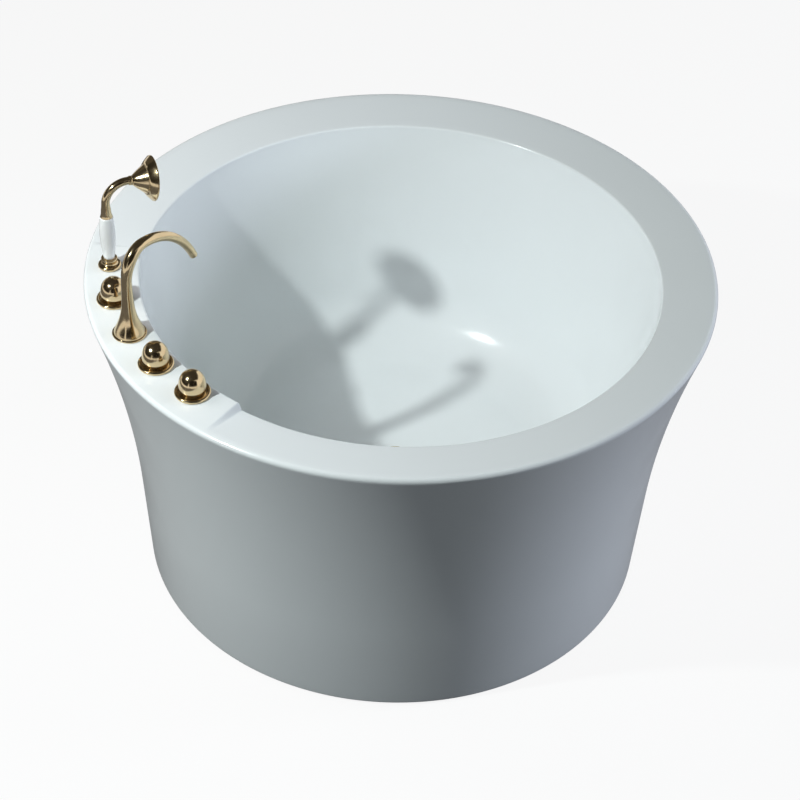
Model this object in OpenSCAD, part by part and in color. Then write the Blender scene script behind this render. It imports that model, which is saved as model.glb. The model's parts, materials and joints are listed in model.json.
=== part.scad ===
// Round freestanding soaking tub with a five-hole deck filler.
// Millimetres. The origin is on the floor under the middle of the tub, +Z up.
// The tap ledge is on the -X side, and +X points from it across the water.

/* [Tub shell] */
// Outer diameter of the rim
rim_d = 1200; // [1100:10:1400]
// Height of the rim above the floor
tub_h = 680; // [640:10:740]
// Width of the rim, from its outer edge to the opening
rim_w = 105; // [100:1:125]
// How far the rim falls from its outer edge to its inner edge
rim_fall = 14; // [8:1:18]
// Radius of the rim's rounded outer edge
rim_edge_r = 8; // [6:1:10]
// Radius of the rim's inner edge
inner_edge_r = 5; // [3:1:8]
// How far the skirt's foot stands inside the rim
base_in = 100; // [80:1:120]
// How far the skirt stands inside the rim where its flare begins
flare_in = 86; // [70:1:90]
// Height where the skirt's flare begins
flare_h = 210; // [160:10:260]
// Thickness of the basin with its reinforcement
shell_t = 7; // [6:0.5:9]
// Thickness of the skirt
skirt_t = 5; // [4:0.5:7]
// Gap between the skirt and the floor
skirt_gap = 5; // [3:1:8]
// Width of the skirt's inturned lip at the floor
skirt_lip = 28; // [20:1:40]
// Height of the basin's floor at the waste
floor_h = 190; // [180:5:220]
// Rise of the basin's floor from the waste to its edge
floor_rise = 5; // [3:1:8]
// Lean of the basin's wall from upright, in degrees
wall_lean = 13; // [10:1:16]
// Radius between the basin's wall and floor
floor_fillet = 140; // [110:10:160]

/* [Tap ledge] */
// Angle that the level ledge spans, in degrees
ledge_span = 60; // [56:1:66]
// How far the row of taps stands inside the rim, before its shift
row_in = 58; // [54:1:62]
// Shift of the row's centre along the ledge
row_shift = 26; // [16:1:28]
// Angle between neighbouring taps about the row's centre, in degrees
row_pitch = 11; // [10.6:0.1:11.4]
// Turn of the spout's place in the row, in degrees
row_turn = 1.6; // [0:0.1:2]
// Radius of each tap hole
tap_hole_r = 13; // [12.8:0.1:14]

/* [Undercarriage] */
// Thickness of the board under the floor
board_t = 18; // [15:1:21]
// How far the board's edge stands inside the floor's flat part
board_in = 8; // [2:1:20]
// Thickness of the board under the tap ledge
deck_board_t = 12; // [10:1:14]
// Width and height of the frame's square tube
tube_w = 30; // [25:1:35]
// Wall of the frame's tube
tube_t = 2; // [1.5:0.5:3]
// How far each foot's middle stands inside the skirt's foot
foot_in = 76; // [70:1:90]
// Distance of the long rails from the middle
rail_x = 120; // [110:5:130]
// Thickness of the blocks between the long rails and the skirt
block_t = 12; // [8:1:20]
// Radius of a foot's threaded stud
stud_r = 6; // [5:0.5:8]
// Radius of a foot's pad
pad_r = 25; // [20:1:30]
// Height of a foot's pad
pad_h = 12; // [10:1:14]

/* [Waste and trap] */
// Radius of the waste hole in the basin
waste_hole_r = 24; // [23:0.5:26]
// Radius of the waste's visible flange
flange_r = 35; // [32:1:38]
// Radius of the push-open plug
plug_r = 31; // [28:1:33]
// Travel of the push-open plug
plug_travel = 8; // [6:1:10]
// Outer radius of the waste pipe
pipe_r = 20; // [18:1:22]
// Outer radius of the trap
trap_r = 42; // [38:1:46]
// Distance of the trap outlet's end from the middle
outlet_reach = 150; // [120:5:200]
// Length of the outlet's free end, past its collar
outlet_free = 50; // [40:1:60]

/* [Knobs and valves] */
// Radius of a knob at its widest
knob_r = 24.8; // [24:0.1:27]
// Height of a knob's top above the rim
knob_top = 50; // [46:1:56]
// Outer radius of a knob's ring
ring_r = 33; // [32:0.5:36]
// Radius of the rounded edge of a knob's ring
ring_edge = 3.5; // [3:0.25:4]
// Radius of a knob's spindle
spindle_r = 4; // [3:0.25:5]
// Outer radius of a valve's cartridge
cartridge_r = 9.9; // [9:0.1:10.5]
// Outer radius of a valve's threaded shank
shank_r = 12.5; // [12:0.1:12.7]
// Radius of a valve body under the ledge
valve_r = 16; // [15:0.5:17]
// Radius of a supply inlet's thread
inlet_r = 10.5; // [9:0.1:11]
// Length of a supply inlet's thread
inlet_len = 16; // [12:1:20]
// Outer radius of a link pipe
link_r = 7; // [6:0.5:7.5]

/* [Spout] */
// Turn of the spout from straight across the tub, in degrees
spout_turn = 25; // [0:1:30]
// Reach of the spout from its foot to its outlet
spout_reach = 170; // [150:5:190]
// Height where the spout's arch begins
spout_spring = 115; // [105:5:130]
// Height of the arch's top
spout_top = 179; // [170:1:195]
// Distance from the spout's foot to the arch's top
spout_top_in = 45; // [40:1:55]
// Height of the spout's outlet
spout_out_h = 83; // [75:1:95]
// Part of a quarter turn that the arch's falling side covers, in degrees
spout_fall_a = 59; // [50:1:65]
// Radius of the spout's foot
spout_foot_r = 29; // [28:0.5:33]
// Radius of the spout's neck
spout_neck_r = 9.8; // [9:0.1:11]
// Radius of the spout where its arch is thickest
spout_arch_r = 11.5; // [11:0.1:12.5]
// Radius of the spout at its outlet
spout_tip_r = 7.9; // [7.5:0.1:9]
// Outer radius of the ring under the spout
spout_ring_r = 32; // [31:0.5:36]

/* [Handset] */
// Turn of the handset from straight across the tub, in degrees
handset_turn = -2; // [-20:1:20]
// Outer radius of the holder
holder_r = 22; // [21:0.5:24]
// Height of the holder's cup
holder_h = 21; // [17:1:24]
// Radius of the ceramic handle at its widest
handle_r = 15; // [13:0.5:17]
// Length of the ceramic handle
handle_len = 93; // [80:1:110]
// Radius of the bend in the handset's neck
neck_bend_r = 42; // [35:1:50]
// Outer radius of the handset's neck
neck_r = 8; // [7:0.1:9]
// Radius of the shower head
head_r = 43; // [38:1:48]
// Length of the shower head along its axis
head_len = 41; // [36:1:46]
// Tilt of the shower head below level, in degrees
head_tilt = 7; // [0:1:20]
// Radius of the holes in the spray plate
jet_r = 1.5; // [1.2:0.1:1.8]

/* [Fits] */
// Radial clearance of a piece that turns or slides
run_gap = 0.05; // [0.03:0.01:0.1]
// Clearance of a lift-off piece in its seat
seat_gap = 0.3; // [0.2:0.05:0.4]
// Thickness of the glue between the blocks and the skirt
glue_gap = 0.8; // [0.5:0.1:1]

/* [Hidden] */
$fn = 96;
// A length that takes a cut past the face it leaves
over = 1;

white_shell = [0.93, 0.95, 0.96];
board_brown = [0.62, 0.48, 0.32];
zinc_grey = [0.6, 0.62, 0.64];
black_rubber = [0.12, 0.12, 0.12];
pale_plastic = [0.85, 0.85, 0.84];
polished_gold = [0.72, 0.57, 0.33];
raw_brass = [0.7, 0.58, 0.32];
ceramic_white = [0.96, 0.97, 0.97];

// Rim and skirt, worked out from the driving sizes
rim_r = rim_d / 2;
opening_r = rim_r - rim_w;
base_r = rim_r - base_in;
flare_r = rim_r - flare_in;
inner_edge_h = tub_h - rim_fall;
edge_mid_h = tub_h - rim_edge_r;
edge_mid_r = rim_r - rim_edge_r;
// Unit direction of the skirt's straight part, in radius and height
skirt_len = norm([flare_r - base_r, flare_h]);
skirt_u = [flare_r - base_r, flare_h] / skirt_len;
// The flare's arc starts along the straight part and meets the rim's round edge
flare_a = flare_r - edge_mid_r;
flare_b = edge_mid_h - flare_h;
flare_rho = (flare_a * flare_a + flare_b * flare_b - rim_edge_r * rim_edge_r)
    / (2 * (rim_edge_r - flare_b * skirt_u[0] - flare_a * skirt_u[1]));
flare_mid = [flare_r + flare_rho * skirt_u[1], flare_h - flare_rho * skirt_u[0]];

// Radius of the skirt's outer face at height h
function skirt_r(h) = h < flare_h
    ? base_r + (flare_r - base_r) * h / flare_h
    : flare_mid[0] - sqrt(pow(flare_rho, 2) - pow(h - flare_mid[1], 2));
// Points of an arc in radius and height
function arc(mid, r, a0, a1, n) = [for (i = [0 : n]) mid + r * [cos(a0 + (a1 - a0) * i / n), sin(a0 + (a1 - a0) * i / n)]];

// The seam between the rim's bead and the skirt
seam_h = edge_mid_h - rim_edge_r / 2;
edge_end_a = -asin((edge_mid_h - flare_mid[1]) / (flare_rho + rim_edge_r));
bead_w = 14;
skirt_steps = 16;

// Basin section: the wall leans, and a fillet joins it to the floor
wall_top_h = inner_edge_h - inner_edge_r;
floor_edge_h = floor_h + floor_rise;
wall_foot_r = opening_r - (wall_top_h - floor_edge_h) * tan(wall_lean);
fillet_reach = floor_fillet * tan((90 - wall_lean) / 2);
floor_flat_r = wall_foot_r - fillet_reach;
fillet_mid = [floor_flat_r, floor_edge_h + floor_fillet];
floor_under_h = floor_h - shell_t - 1;
rim_slope_a = atan(rim_fall / (edge_mid_r - opening_r - inner_edge_r));

// Tap row: station 0 is the spout, -2 the hot knob and 2 the handset
row_r = rim_r - row_in;
row_mid = [0, row_shift];
// Length of the row's arc between two stations
station_arc = row_r * row_pitch * PI / 180;
stations = [-2, -1, 0, 1, 2];
hot_at = -2;
cold_at = -1;
spout_at = 0;
diverter_at = 1;
handset_at = 2;
function row_a(k) = 180 + row_turn - k * row_pitch;
deck_z = tub_h;
deck_under = deck_z - shell_t - deck_board_t;

module at_station(k) {
    translate([row_mid[0], row_mid[1], deck_z]) rotate([0, 0, row_a(k)]) translate([row_r, 0, 0])
        rotate([0, 0, -row_a(k)]) children();
}
// A tube bent along the row of taps, between two stations, at a depth below the ledge
module row_tube(k0, k1, depth, r) {
    translate([row_mid[0], row_mid[1], deck_z - depth]) rotate([0, 0, row_a(k1)])
        rotate_extrude(angle = row_a(k0) - row_a(k1)) translate([row_r, 0]) circle(r);
}
module tube(h, r_out, r_in) {
    difference() {
        cylinder(h = h, r = r_out);
        translate([0, 0, -over]) cylinder(h = h + 2 * over, r = r_in);
    }
}
module hex_nut(h, flats, bore_r) {
    difference() {
        cylinder(h = h, r = flats / 2 / cos(30), $fn = 6);
        translate([0, 0, -over]) cylinder(h = h + 2 * over, r = bore_r);
    }
}
module sector(span, pts) {
    rotate([0, 0, 180 - span / 2]) rotate_extrude(angle = span) polygon(pts);
}

// Tub shell
ledge_in_r = opening_r;
ledge_out_r = edge_mid_r;
ledge_end_wall = 2 * atan(shell_t / row_r);
ledge_lap = 2 * atan(over / row_r);
ledge_low_h = wall_top_h - 3;
ledge_back_r = ledge_in_r + shell_t + 1;
ledge_low_r = ledge_in_r - (wall_top_h - ledge_low_h) * tan(wall_lean);
pocket_r = ledge_back_r + over;
flange_t = 3;
gasket_t = 2;

module basin_profile() {
    outer = concat(
        [[waste_hole_r, floor_h], [floor_flat_r, floor_edge_h]],
        arc(fillet_mid, floor_fillet, -90, -wall_lean, 14),
        [[opening_r, wall_top_h]],
        arc([opening_r + inner_edge_r, wall_top_h], inner_edge_r, 180, 90 + rim_slope_a, 5),
        arc([edge_mid_r, edge_mid_h], rim_edge_r, 90, edge_end_a, 8),
        [[skirt_r(seam_h), seam_h], [skirt_r(seam_h) - bead_w, seam_h]]);
    inner = concat(
        [[edge_mid_r - 6, tub_h - shell_t - 1], [opening_r + shell_t, wall_top_h - 2]],
        arc(fillet_mid, floor_fillet + shell_t, -wall_lean, -85, 12),
        [[floor_flat_r, floor_under_h], [waste_hole_r, floor_under_h]]);
    polygon(concat(outer, inner));
}
module basin_shell() {
    color(white_shell) difference() {
        union() {
            difference() {
                rotate_extrude($fn = 180) basin_profile();
                sector(ledge_span - ledge_lap, [[ledge_low_r - over, ledge_low_h],
                    [ledge_low_r - over, tub_h + over], [ledge_out_r, tub_h + over], [ledge_out_r, ledge_low_h]]);
            }
            difference() {
                sector(ledge_span, [[ledge_low_r + over, ledge_low_h - over], [ledge_low_r, ledge_low_h],
                    [ledge_in_r, wall_top_h], [ledge_in_r, tub_h - inner_edge_r / 2],
                    [ledge_in_r + inner_edge_r / 2, tub_h], [ledge_out_r, tub_h], [ledge_out_r + over, tub_h - over],
                    [ledge_out_r + over, tub_h - shell_t], [ledge_back_r, ledge_low_h],
                    [ledge_back_r - 2 * over, ledge_low_h - over]]);
                sector(ledge_span - ledge_end_wall, [[pocket_r, ledge_low_h - 2 * over], [pocket_r, tub_h - shell_t],
                    [ledge_out_r + 2 * over, tub_h - shell_t], [ledge_out_r + 2 * over, ledge_low_h - 2 * over]]);
            }
        }
        for (k = stations)
            at_station(k) translate([0, 0, -shell_t - over]) cylinder(h = shell_t + 2 * over, r = tap_hole_r);
        translate([0, 0, floor_h - flange_t - gasket_t])
            cylinder(h = flange_t + gasket_t + floor_rise + over, r = flange_r + seat_gap);
    }
}
module skirt_profile() {
    up = [for (i = [0 : skirt_steps]) skirt_gap + 3 + (seam_h - skirt_gap - 3) * i / skirt_steps];
    outer = [for (h = up) [skirt_r(h), h]];
    inner = [for (i = [skirt_steps : -1 : 0]) [skirt_r(up[i]) - skirt_t, i == 0 ? skirt_gap + skirt_t : up[i]]];
    polygon(concat([[base_r - skirt_lip, skirt_gap], [base_r - 3, skirt_gap], [base_r - 1, skirt_gap + 1]],
        outer, inner, [[base_r - skirt_lip, skirt_gap + skirt_t]]));
}
module skirt_shell() {
    color(white_shell) rotate_extrude($fn = 180) skirt_profile();
}

// Undercarriage
board_top = floor_under_h;
board_low = board_top - board_t;
frame_low = board_low - tube_w;
board_r = floor_flat_r - board_in;
waste_nut_flats = 2 * waste_hole_r + 18;
board_hole_r = waste_nut_flats / 2 / cos(30) + 14;
corner = (base_r - foot_in) / sqrt(2);
frame_half = corner + tube_w / 2;
// Radius of the faces that the blocks glue to the skirt, at height h
function block_face(h) = skirt_r(h) - skirt_t - glue_gap;
block_w = 2 * tube_w;
rail_half = sqrt(pow(block_face(frame_low), 2) - pow(rail_x, 2)) - block_t;
foot_at = [[corner, corner], [-corner, corner], [-corner, -corner], [corner, -corner]];
foot_nut_h = 10;
stud_top = board_low + 10;
pad_floor_t = 4;
pad_brim_h = 5;
screw_r = 3;
screw_at = [for (sx = [-1, 1], part = [-0.75, -0.3, 0.3, 0.75]) [sx * rail_x, part * board_r]];
screw_bite = 2 / 3 * board_t;

module floor_board() {
    color(board_brown) difference() {
        translate([0, 0, board_low]) cylinder(h = board_t, r = board_r);
        translate([0, 0, board_low - over]) cylinder(h = board_t + 2 * over, r = board_hole_r);
        for (p = screw_at)
            translate([p[0], p[1], board_low - over]) cylinder(h = screw_bite + over, r = screw_r + run_gap);
    }
}
module deck_board() {
    edge_in = pocket_r + seat_gap;
    edge_out = ledge_out_r - shell_t;
    deck_top = deck_z - shell_t - run_gap;
    color(board_brown) difference() {
        sector(ledge_span - 2 * ledge_end_wall,
            [[edge_in, deck_under], [edge_in, deck_top], [edge_out, deck_top], [edge_out, deck_under]]);
        for (k = stations)
            at_station(k) translate([0, 0, -shell_t - deck_board_t - over])
                cylinder(h = deck_board_t + 2 * over, r = tap_hole_r);
    }
}
module box_tube(x, y, lx, ly, shrink) {
    translate([x - lx / 2 + shrink, y - ly / 2 + shrink, frame_low + shrink])
        cube([lx - 2 * shrink, ly - 2 * shrink, tube_w - 2 * shrink]);
}
module frame_tubes(shrink) {
    for (s = [-1, 1]) {
        box_tube(s * rail_x, 0, tube_w, 2 * rail_half, shrink);
        box_tube(s * corner, 0, tube_w, 2 * frame_half, shrink);
        box_tube(0, s * corner, 2 * frame_half, tube_w, shrink);
    }
}
module support_frame() {
    color(zinc_grey) difference() {
        frame_tubes(0);
        frame_tubes(tube_t);
        for (p = foot_at)
            translate([p[0], p[1], frame_low - over]) cylinder(h = tube_w + 2 * over, r = stud_r + 0.5);
        for (p = screw_at)
            translate([p[0], p[1], frame_low - over]) cylinder(h = tube_w + 2 * over, r = screw_r + run_gap);
    }
}
module frame_screws() {
    color(zinc_grey) for (p = screw_at) translate([p[0], p[1], 0]) {
        translate([0, 0, frame_low]) cylinder(h = tube_w + screw_bite, r = screw_r);
        translate([0, 0, frame_low - 3]) cylinder(h = 3, r = 2 * screw_r);
    }
}
module skirt_blocks() {
    color(board_brown) intersection() {
        rotate_extrude($fn = 360) polygon([[rail_half - block_w, frame_low], [block_face(frame_low), frame_low],
            [block_face(board_low), board_low], [rail_half - block_w, board_low]]);
        for (sx = [-1, 1], sy = [-1, 1])
            translate([sx * rail_x - block_w / 2, sy > 0 ? rail_half : -rail_half - block_w, frame_low])
                cube([block_w, block_w, tube_w]);
    }
}
module foot_nuts() {
    color(zinc_grey) for (p = foot_at) translate([p[0], p[1], frame_low - foot_nut_h])
        hex_nut(foot_nut_h, 3.2 * stud_r, stud_r + run_gap);
}
module foot_stud(i) {
    color(zinc_grey) translate([foot_at[i][0], foot_at[i][1], pad_floor_t])
        cylinder(h = stud_top - pad_floor_t, r = stud_r);
}
module foot_pad(i) {
    color(black_rubber) translate([foot_at[i][0], foot_at[i][1], 0]) difference() {
        union() {
            cylinder(h = pad_brim_h, r = pad_r);
            translate([0, 0, pad_brim_h]) cylinder(h = pad_h - pad_brim_h, r1 = pad_r - 4, r2 = 2 * stud_r);
        }
        translate([0, 0, pad_floor_t]) cylinder(h = pad_h, r = stud_r + run_gap);
    }
}

// Waste and trap
flange_tube_r = waste_hole_r - 1.5;
flange_bore_r = flange_tube_r - 2.5;
flange_low = floor_under_h - 34;
waste_nut_h = 10;
hub_r = 10;
hub_h = 12;
hub_low = floor_h - 34;
plug_cart_r = 7;
plug_cart_low = hub_low - plug_travel - 6;
plug_cart_floor = 3;
stem_r = 3;
stem_low = plug_cart_low + plug_cart_floor + 2;
stem_bite = 1.2;
plug_head_t = 5.5;
plug_dome_r = 120;
plug_seal_t = 4;
trap_nut_h = 16;
trap_nut_lip = 4;
trap_mid_z = flange_low - 56;
trap_top = trap_mid_z + pipe_r + 6;
trap_low = trap_mid_z - pipe_r - 32;
trap_wall = 2.5;
dip_low = trap_low + 18;
cup_h = 24;
cup_floor = 4;
cup_lap = 10;
collar_t = 4;

module waste_flange() {
    color(polished_gold) difference() {
        union() {
            translate([0, 0, flange_low]) tube(floor_h - flange_low, flange_tube_r, flange_bore_r);
            translate([0, 0, floor_h - flange_t]) tube(flange_t, flange_r, flange_bore_r);
            translate([0, 0, hub_low]) cylinder(h = hub_h, r = hub_r);
            for (a = [0, 60, 120]) rotate([0, 0, a])
                translate([-flange_bore_r - 1, -1.5, hub_low]) cube([2 * flange_bore_r + 2, 3, hub_h - 4]);
        }
        translate([0, 0, hub_low - over]) cylinder(h = hub_h + 2 * over, r = plug_cart_r + run_gap);
    }
}
module waste_gasket() {
    color(black_rubber) translate([0, 0, floor_h - flange_t - gasket_t])
        tube(gasket_t, flange_r - 1, waste_hole_r);
}
module waste_nut() {
    color(raw_brass) translate([0, 0, floor_under_h - waste_nut_h])
        hex_nut(waste_nut_h, waste_nut_flats, flange_tube_r + run_gap);
}
module plug_cartridge() {
    height = hub_low + hub_h + 2 - plug_cart_low;
    color(pale_plastic) translate([0, 0, plug_cart_low]) difference() {
        cylinder(h = height, r = plug_cart_r);
        translate([0, 0, plug_cart_floor]) cylinder(h = height, r = stem_r + run_gap);
    }
}
module plug_stem() {
    color(raw_brass) translate([0, 0, stem_low])
        cylinder(h = floor_h + seat_gap + stem_bite - stem_low, r = stem_r);
}
module waste_plug() {
    color(polished_gold) translate([0, 0, floor_h + seat_gap]) difference() {
        intersection() {
            cylinder(h = plug_head_t + over, r = plug_r);
            translate([0, 0, plug_head_t - plug_dome_r]) sphere(r = plug_dome_r, $fn = 180);
        }
        translate([0, 0, -over]) cylinder(h = over + stem_bite, r = stem_r + run_gap);
    }
}
module plug_seal() {
    color(black_rubber) translate([0, 0, floor_h + seat_gap - plug_seal_t])
        tube(plug_seal_t, flange_bore_r - 1, stem_r + run_gap);
}
module trap_nut() {
    color(pale_plastic) translate([0, 0, flange_low - trap_nut_lip]) difference() {
        cylinder(h = trap_nut_h, r = flange_tube_r + 7);
        translate([0, 0, trap_nut_lip]) cylinder(h = trap_nut_h, r = flange_tube_r + run_gap);
        translate([0, 0, -over]) cylinder(h = trap_nut_lip + 2 * over, r = pipe_r + run_gap);
    }
}
module outlet_pipe(y, reach, r) {
    translate([0, y, trap_mid_z]) rotate([-90, 0, 0]) cylinder(h = reach, r = r);
}
module trap_body() {
    body_low = trap_low + cup_lap - 2;
    color(pale_plastic) difference() {
        union() {
            translate([0, 0, dip_low]) cylinder(h = flange_low - dip_low, r = pipe_r);
            translate([0, 0, body_low]) cylinder(h = trap_top - body_low, r = trap_r);
            outlet_pipe(0, outlet_reach, pipe_r);
            outlet_pipe(outlet_reach - outlet_free - collar_t, collar_t, pipe_r + 4);
        }
        difference() {
            translate([0, 0, trap_low]) cylinder(h = trap_top - trap_wall - trap_low, r = trap_r - trap_wall);
            translate([0, 0, dip_low]) cylinder(h = trap_top - dip_low, r = pipe_r);
        }
        translate([0, 0, trap_low]) cylinder(h = flange_low - trap_low + over, r = pipe_r - trap_wall);
        outlet_pipe(trap_r - trap_wall - pipe_r / 6, outlet_reach, pipe_r - trap_wall);
    }
}
module trap_cup() {
    color(pale_plastic) translate([0, 0, trap_low + cup_floor - cup_lap]) difference() {
        cylinder(h = cup_h, r = trap_r + 4);
        translate([0, 0, cup_floor + cup_lap]) cylinder(h = cup_h, r = trap_r + run_gap);
        translate([0, 0, cup_floor]) cylinder(h = cup_h, r = trap_r - trap_wall);
    }
}

// Deck fixings, the same at every station
seal_t = 1.2;
seal_in_r = tap_hole_r + 4;
seal_out_r = tap_hole_r + 7;
washer_t = 2;
washer_r = 24;
deck_nut_h = 8;
deck_nut_flats = 36;
shank_fit = 0.3;
deck_stack = shell_t + deck_board_t + washer_t + deck_nut_h;

module seal_groove() {
    translate([0, 0, -over]) tube(seal_t + over, seal_out_r + run_gap, seal_in_r - run_gap);
}
module deck_seals() {
    color(black_rubber) for (k = stations) at_station(k) tube(seal_t, seal_out_r, seal_in_r);
}
module deck_washers() {
    color(zinc_grey) for (k = stations) at_station(k)
        translate([0, 0, -shell_t - deck_board_t - washer_t]) tube(washer_t, washer_r, shank_r + shank_fit);
}
module deck_nuts() {
    color(raw_brass) for (k = stations) at_station(k)
        translate([0, 0, -deck_stack]) hex_nut(deck_nut_h, deck_nut_flats, shank_r + run_gap);
}

// Knobs and valves
plate_t = ring_edge;
shank_top = 10;
valve_top = -deck_stack - 5;
valve_low = valve_top - 58;
upper_port = 14 - valve_top;
lower_port = -12 - valve_low;
port_r = link_r + 2.5;
port_len = 27;
port_bite = 10;
cartridge_low = valve_top - 6;
cartridge_floor = 8;
spindle_low = valve_top + 6;
spindle_top = 0.6 * knob_top;
knob_low = plate_t + 0.5;
knob_recess_r = shank_r + 3.5;
knob_recess_top = shank_top + 3;
water_r = link_r - 1.5;
// Places along the row, in stations from a valve's middle
port_end = port_len / station_arc;
port_floor = (port_len - port_bite) / station_arc;
row_over = 2 * over / station_arc;

// Half outline of the egg: the widest place is low, and the top is round
function egg_r(t) = knob_r * sqrt(1 - pow(max(0, (t - 0.3) / 0.7), 2.3)) * (t < 0.3 ? 1 - 0.1 * pow((0.3 - t) / 0.3, 2) : 1);
egg_steps = 28;
function egg_t(i) = 1 - pow(1 - i / egg_steps, 1.8);

module tap_ring(outer_r) {
    difference() {
        rotate_extrude() union() {
            translate([outer_r - ring_edge, ring_edge]) circle(r = ring_edge);
            translate([shank_r + shank_fit, 0]) square([outer_r - ring_edge - shank_r - shank_fit, plate_t]);
            translate([outer_r - ring_edge, 0]) square([ring_edge - 0.8, ring_edge]);
        }
        seal_groove();
    }
}
module knob() {
    height = knob_top - knob_low;
    difference() {
        rotate_extrude() polygon(concat([[0, knob_low]],
            [for (i = [0 : egg_steps - 1]) [egg_r(egg_t(i)), knob_low + height * egg_t(i)]],
            [[0, knob_top]]));
        translate([0, 0, knob_low - over]) cylinder(h = knob_recess_top - knob_low + over, r = knob_recess_r);
        translate([0, 0, knob_low]) cylinder(h = spindle_top - knob_low, r = spindle_r + run_gap);
        translate([0, 0, grub_h]) rotate([-90, 0, 0]) cylinder(h = knob_r + over, r = grub_r + run_gap);
    }
}
grub_h = knob_recess_top + 9;
grub_r = 2;
grub_len = knob_r - spindle_r - 4;
grub_key_r = 1.1;
grub_key_in = 2;
module knob_screw() {
    translate([0, spindle_r, grub_h]) rotate([-90, 0, 0]) difference() {
        cylinder(h = grub_len, r = grub_r);
        translate([0, 0, grub_len - grub_key_in]) cylinder(h = grub_key_in + over, r = grub_key_r, $fn = 6);
    }
}
module spindle() {
    translate([0, 0, spindle_low]) cylinder(h = spindle_top - spindle_low, r = spindle_r);
}
module cartridge() {
    difference() {
        translate([0, 0, cartridge_low]) cylinder(h = shank_top - cartridge_low, r = cartridge_r);
        translate([0, 0, spindle_low - seat_gap])
            cylinder(h = shank_top - spindle_low + over, r = spindle_r + run_gap);
        translate([0, 0, cartridge_low - over]) cylinder(h = cartridge_floor + over, r = water_r);
    }
}
// A bore or stub along the row on one side of a valve, from one place to another
module port_run(k, side, near, far, depth, r) {
    row_tube(min(k + side * near, k + side * far), max(k + side * near, k + side * far), depth, r);
}
module valve(k, inlet, ports) {
    bore_low = inlet ? valve_low - inlet_len - over : valve_low + 4;
    difference() {
        union() {
            at_station(k) {
                translate([0, 0, valve_top - over]) cylinder(h = shank_top - valve_top + over, r = shank_r);
                translate([0, 0, valve_low]) cylinder(h = valve_top - valve_low, r = valve_r);
                if (inlet) translate([0, 0, valve_low - inlet_len]) cylinder(h = inlet_len + over, r = inlet_r);
            }
            for (p = ports) port_run(k, p[0], 0, port_end, p[1], port_r);
        }
        at_station(k) {
            translate([0, 0, cartridge_low]) cylinder(h = shank_top - cartridge_low + over, r = cartridge_r + run_gap);
            translate([0, 0, bore_low]) cylinder(h = cartridge_low - bore_low, r = water_r + 1);
        }
        for (p = ports) {
            port_run(k, p[0], 0, port_end, p[1], water_r);
            port_run(k, p[0], port_floor, port_end + row_over, p[1], link_r + run_gap);
        }
    }
}
hot_ports = [[1, lower_port]];
cold_ports = [[-1, lower_port], [1, lower_port]];
diverter_ports = [[-1, lower_port], [-1, upper_port], [1, upper_port]];

module hot_knob() { color(polished_gold) at_station(hot_at) knob(); }
module hot_screw() { color(zinc_grey) at_station(hot_at) knob_screw(); }
module hot_spindle() { color(raw_brass) at_station(hot_at) spindle(); }
module hot_cartridge() { color(pale_plastic) at_station(hot_at) cartridge(); }
module hot_valve() { color(raw_brass) valve(hot_at, true, hot_ports); }
module hot_ring() { color(polished_gold) at_station(hot_at) tap_ring(ring_r); }
module cold_knob() { color(polished_gold) at_station(cold_at) knob(); }
module cold_screw() { color(zinc_grey) at_station(cold_at) knob_screw(); }
module cold_spindle() { color(raw_brass) at_station(cold_at) spindle(); }
module cold_cartridge() { color(pale_plastic) at_station(cold_at) cartridge(); }
module cold_valve() { color(raw_brass) valve(cold_at, true, cold_ports); }
module cold_ring() { color(polished_gold) at_station(cold_at) tap_ring(ring_r); }
module diverter_knob() { color(polished_gold) at_station(diverter_at) knob(); }
module diverter_screw() { color(zinc_grey) at_station(diverter_at) knob_screw(); }
module diverter_spindle() { color(raw_brass) at_station(diverter_at) spindle(); }
module diverter_cartridge() { color(pale_plastic) at_station(diverter_at) cartridge(); }
module diverter_valve() { color(raw_brass) valve(diverter_at, false, diverter_ports); }
module diverter_ring() { color(polished_gold) at_station(diverter_at) tap_ring(ring_r); }

// Link pipes: hot to cold, cold to diverter, diverter to spout, diverter to the hose union
tee_r = 14;
union_at = diverter_at + 2 * port_end;
union_half = 11;
union_r = inlet_r + 1.5;
pipe_start = port_floor + over / station_arc;
tee_port_end = (tee_r + 9) / station_arc;
tee_port_floor = (tee_r - 4) / station_arc;
module link_pipe(k0, k1, depth) {
    difference() {
        row_tube(k0, k1, depth, link_r);
        row_tube(k0 - row_over, k1 + row_over, depth, water_r);
    }
}
module hose_union() {
    at_station(union_at) translate([0, 0, -upper_port]) difference() {
        union() {
            translate([0, 0, -union_half]) cylinder(h = 2 * union_half, r = union_r);
            translate([0, 0, -union_half - inlet_len]) cylinder(h = inlet_len, r = inlet_r);
        }
        translate([0, 0, -union_half - inlet_len - over])
            cylinder(h = union_half + inlet_len + 3 * over, r = water_r + 0.5);
    }
}
module link_pipes() {
    color(raw_brass) {
        link_pipe(hot_at + pipe_start, cold_at - pipe_start, lower_port);
        link_pipe(cold_at + pipe_start, diverter_at - pipe_start, lower_port);
        link_pipe(spout_at + tee_port_floor, diverter_at - pipe_start, upper_port);
        difference() {
            union() {
                row_tube(diverter_at + pipe_start, union_at, upper_port, link_r);
                hose_union();
            }
            row_tube(diverter_at + pipe_start - row_over, union_at, upper_port, water_r);
        }
    }
}

// Spout: one swept body from its foot, over the arch, to its outlet
foot_t = 4;
foot_decay = 0.3 * (spout_spring - foot_t);
spout_sides = 28;
foot_rings = 13;
crown_rings = 12;
fall_rings = 20;
arch_rings = crown_rings + fall_rings;
arch_thick = 0.3;
spout_bore_r = 6;
tip_bore_r = spout_tip_r - 1.3;
tip_bore = 12;
outlet_floor = 4;
outlet_jet_r = 1;

// Trumpet foot: the radius falls quickly with height
function foot_radius(h) = spout_neck_r + (spout_foot_r - spout_neck_r) * exp(-pow(h / foot_decay, 1.3));
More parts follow.
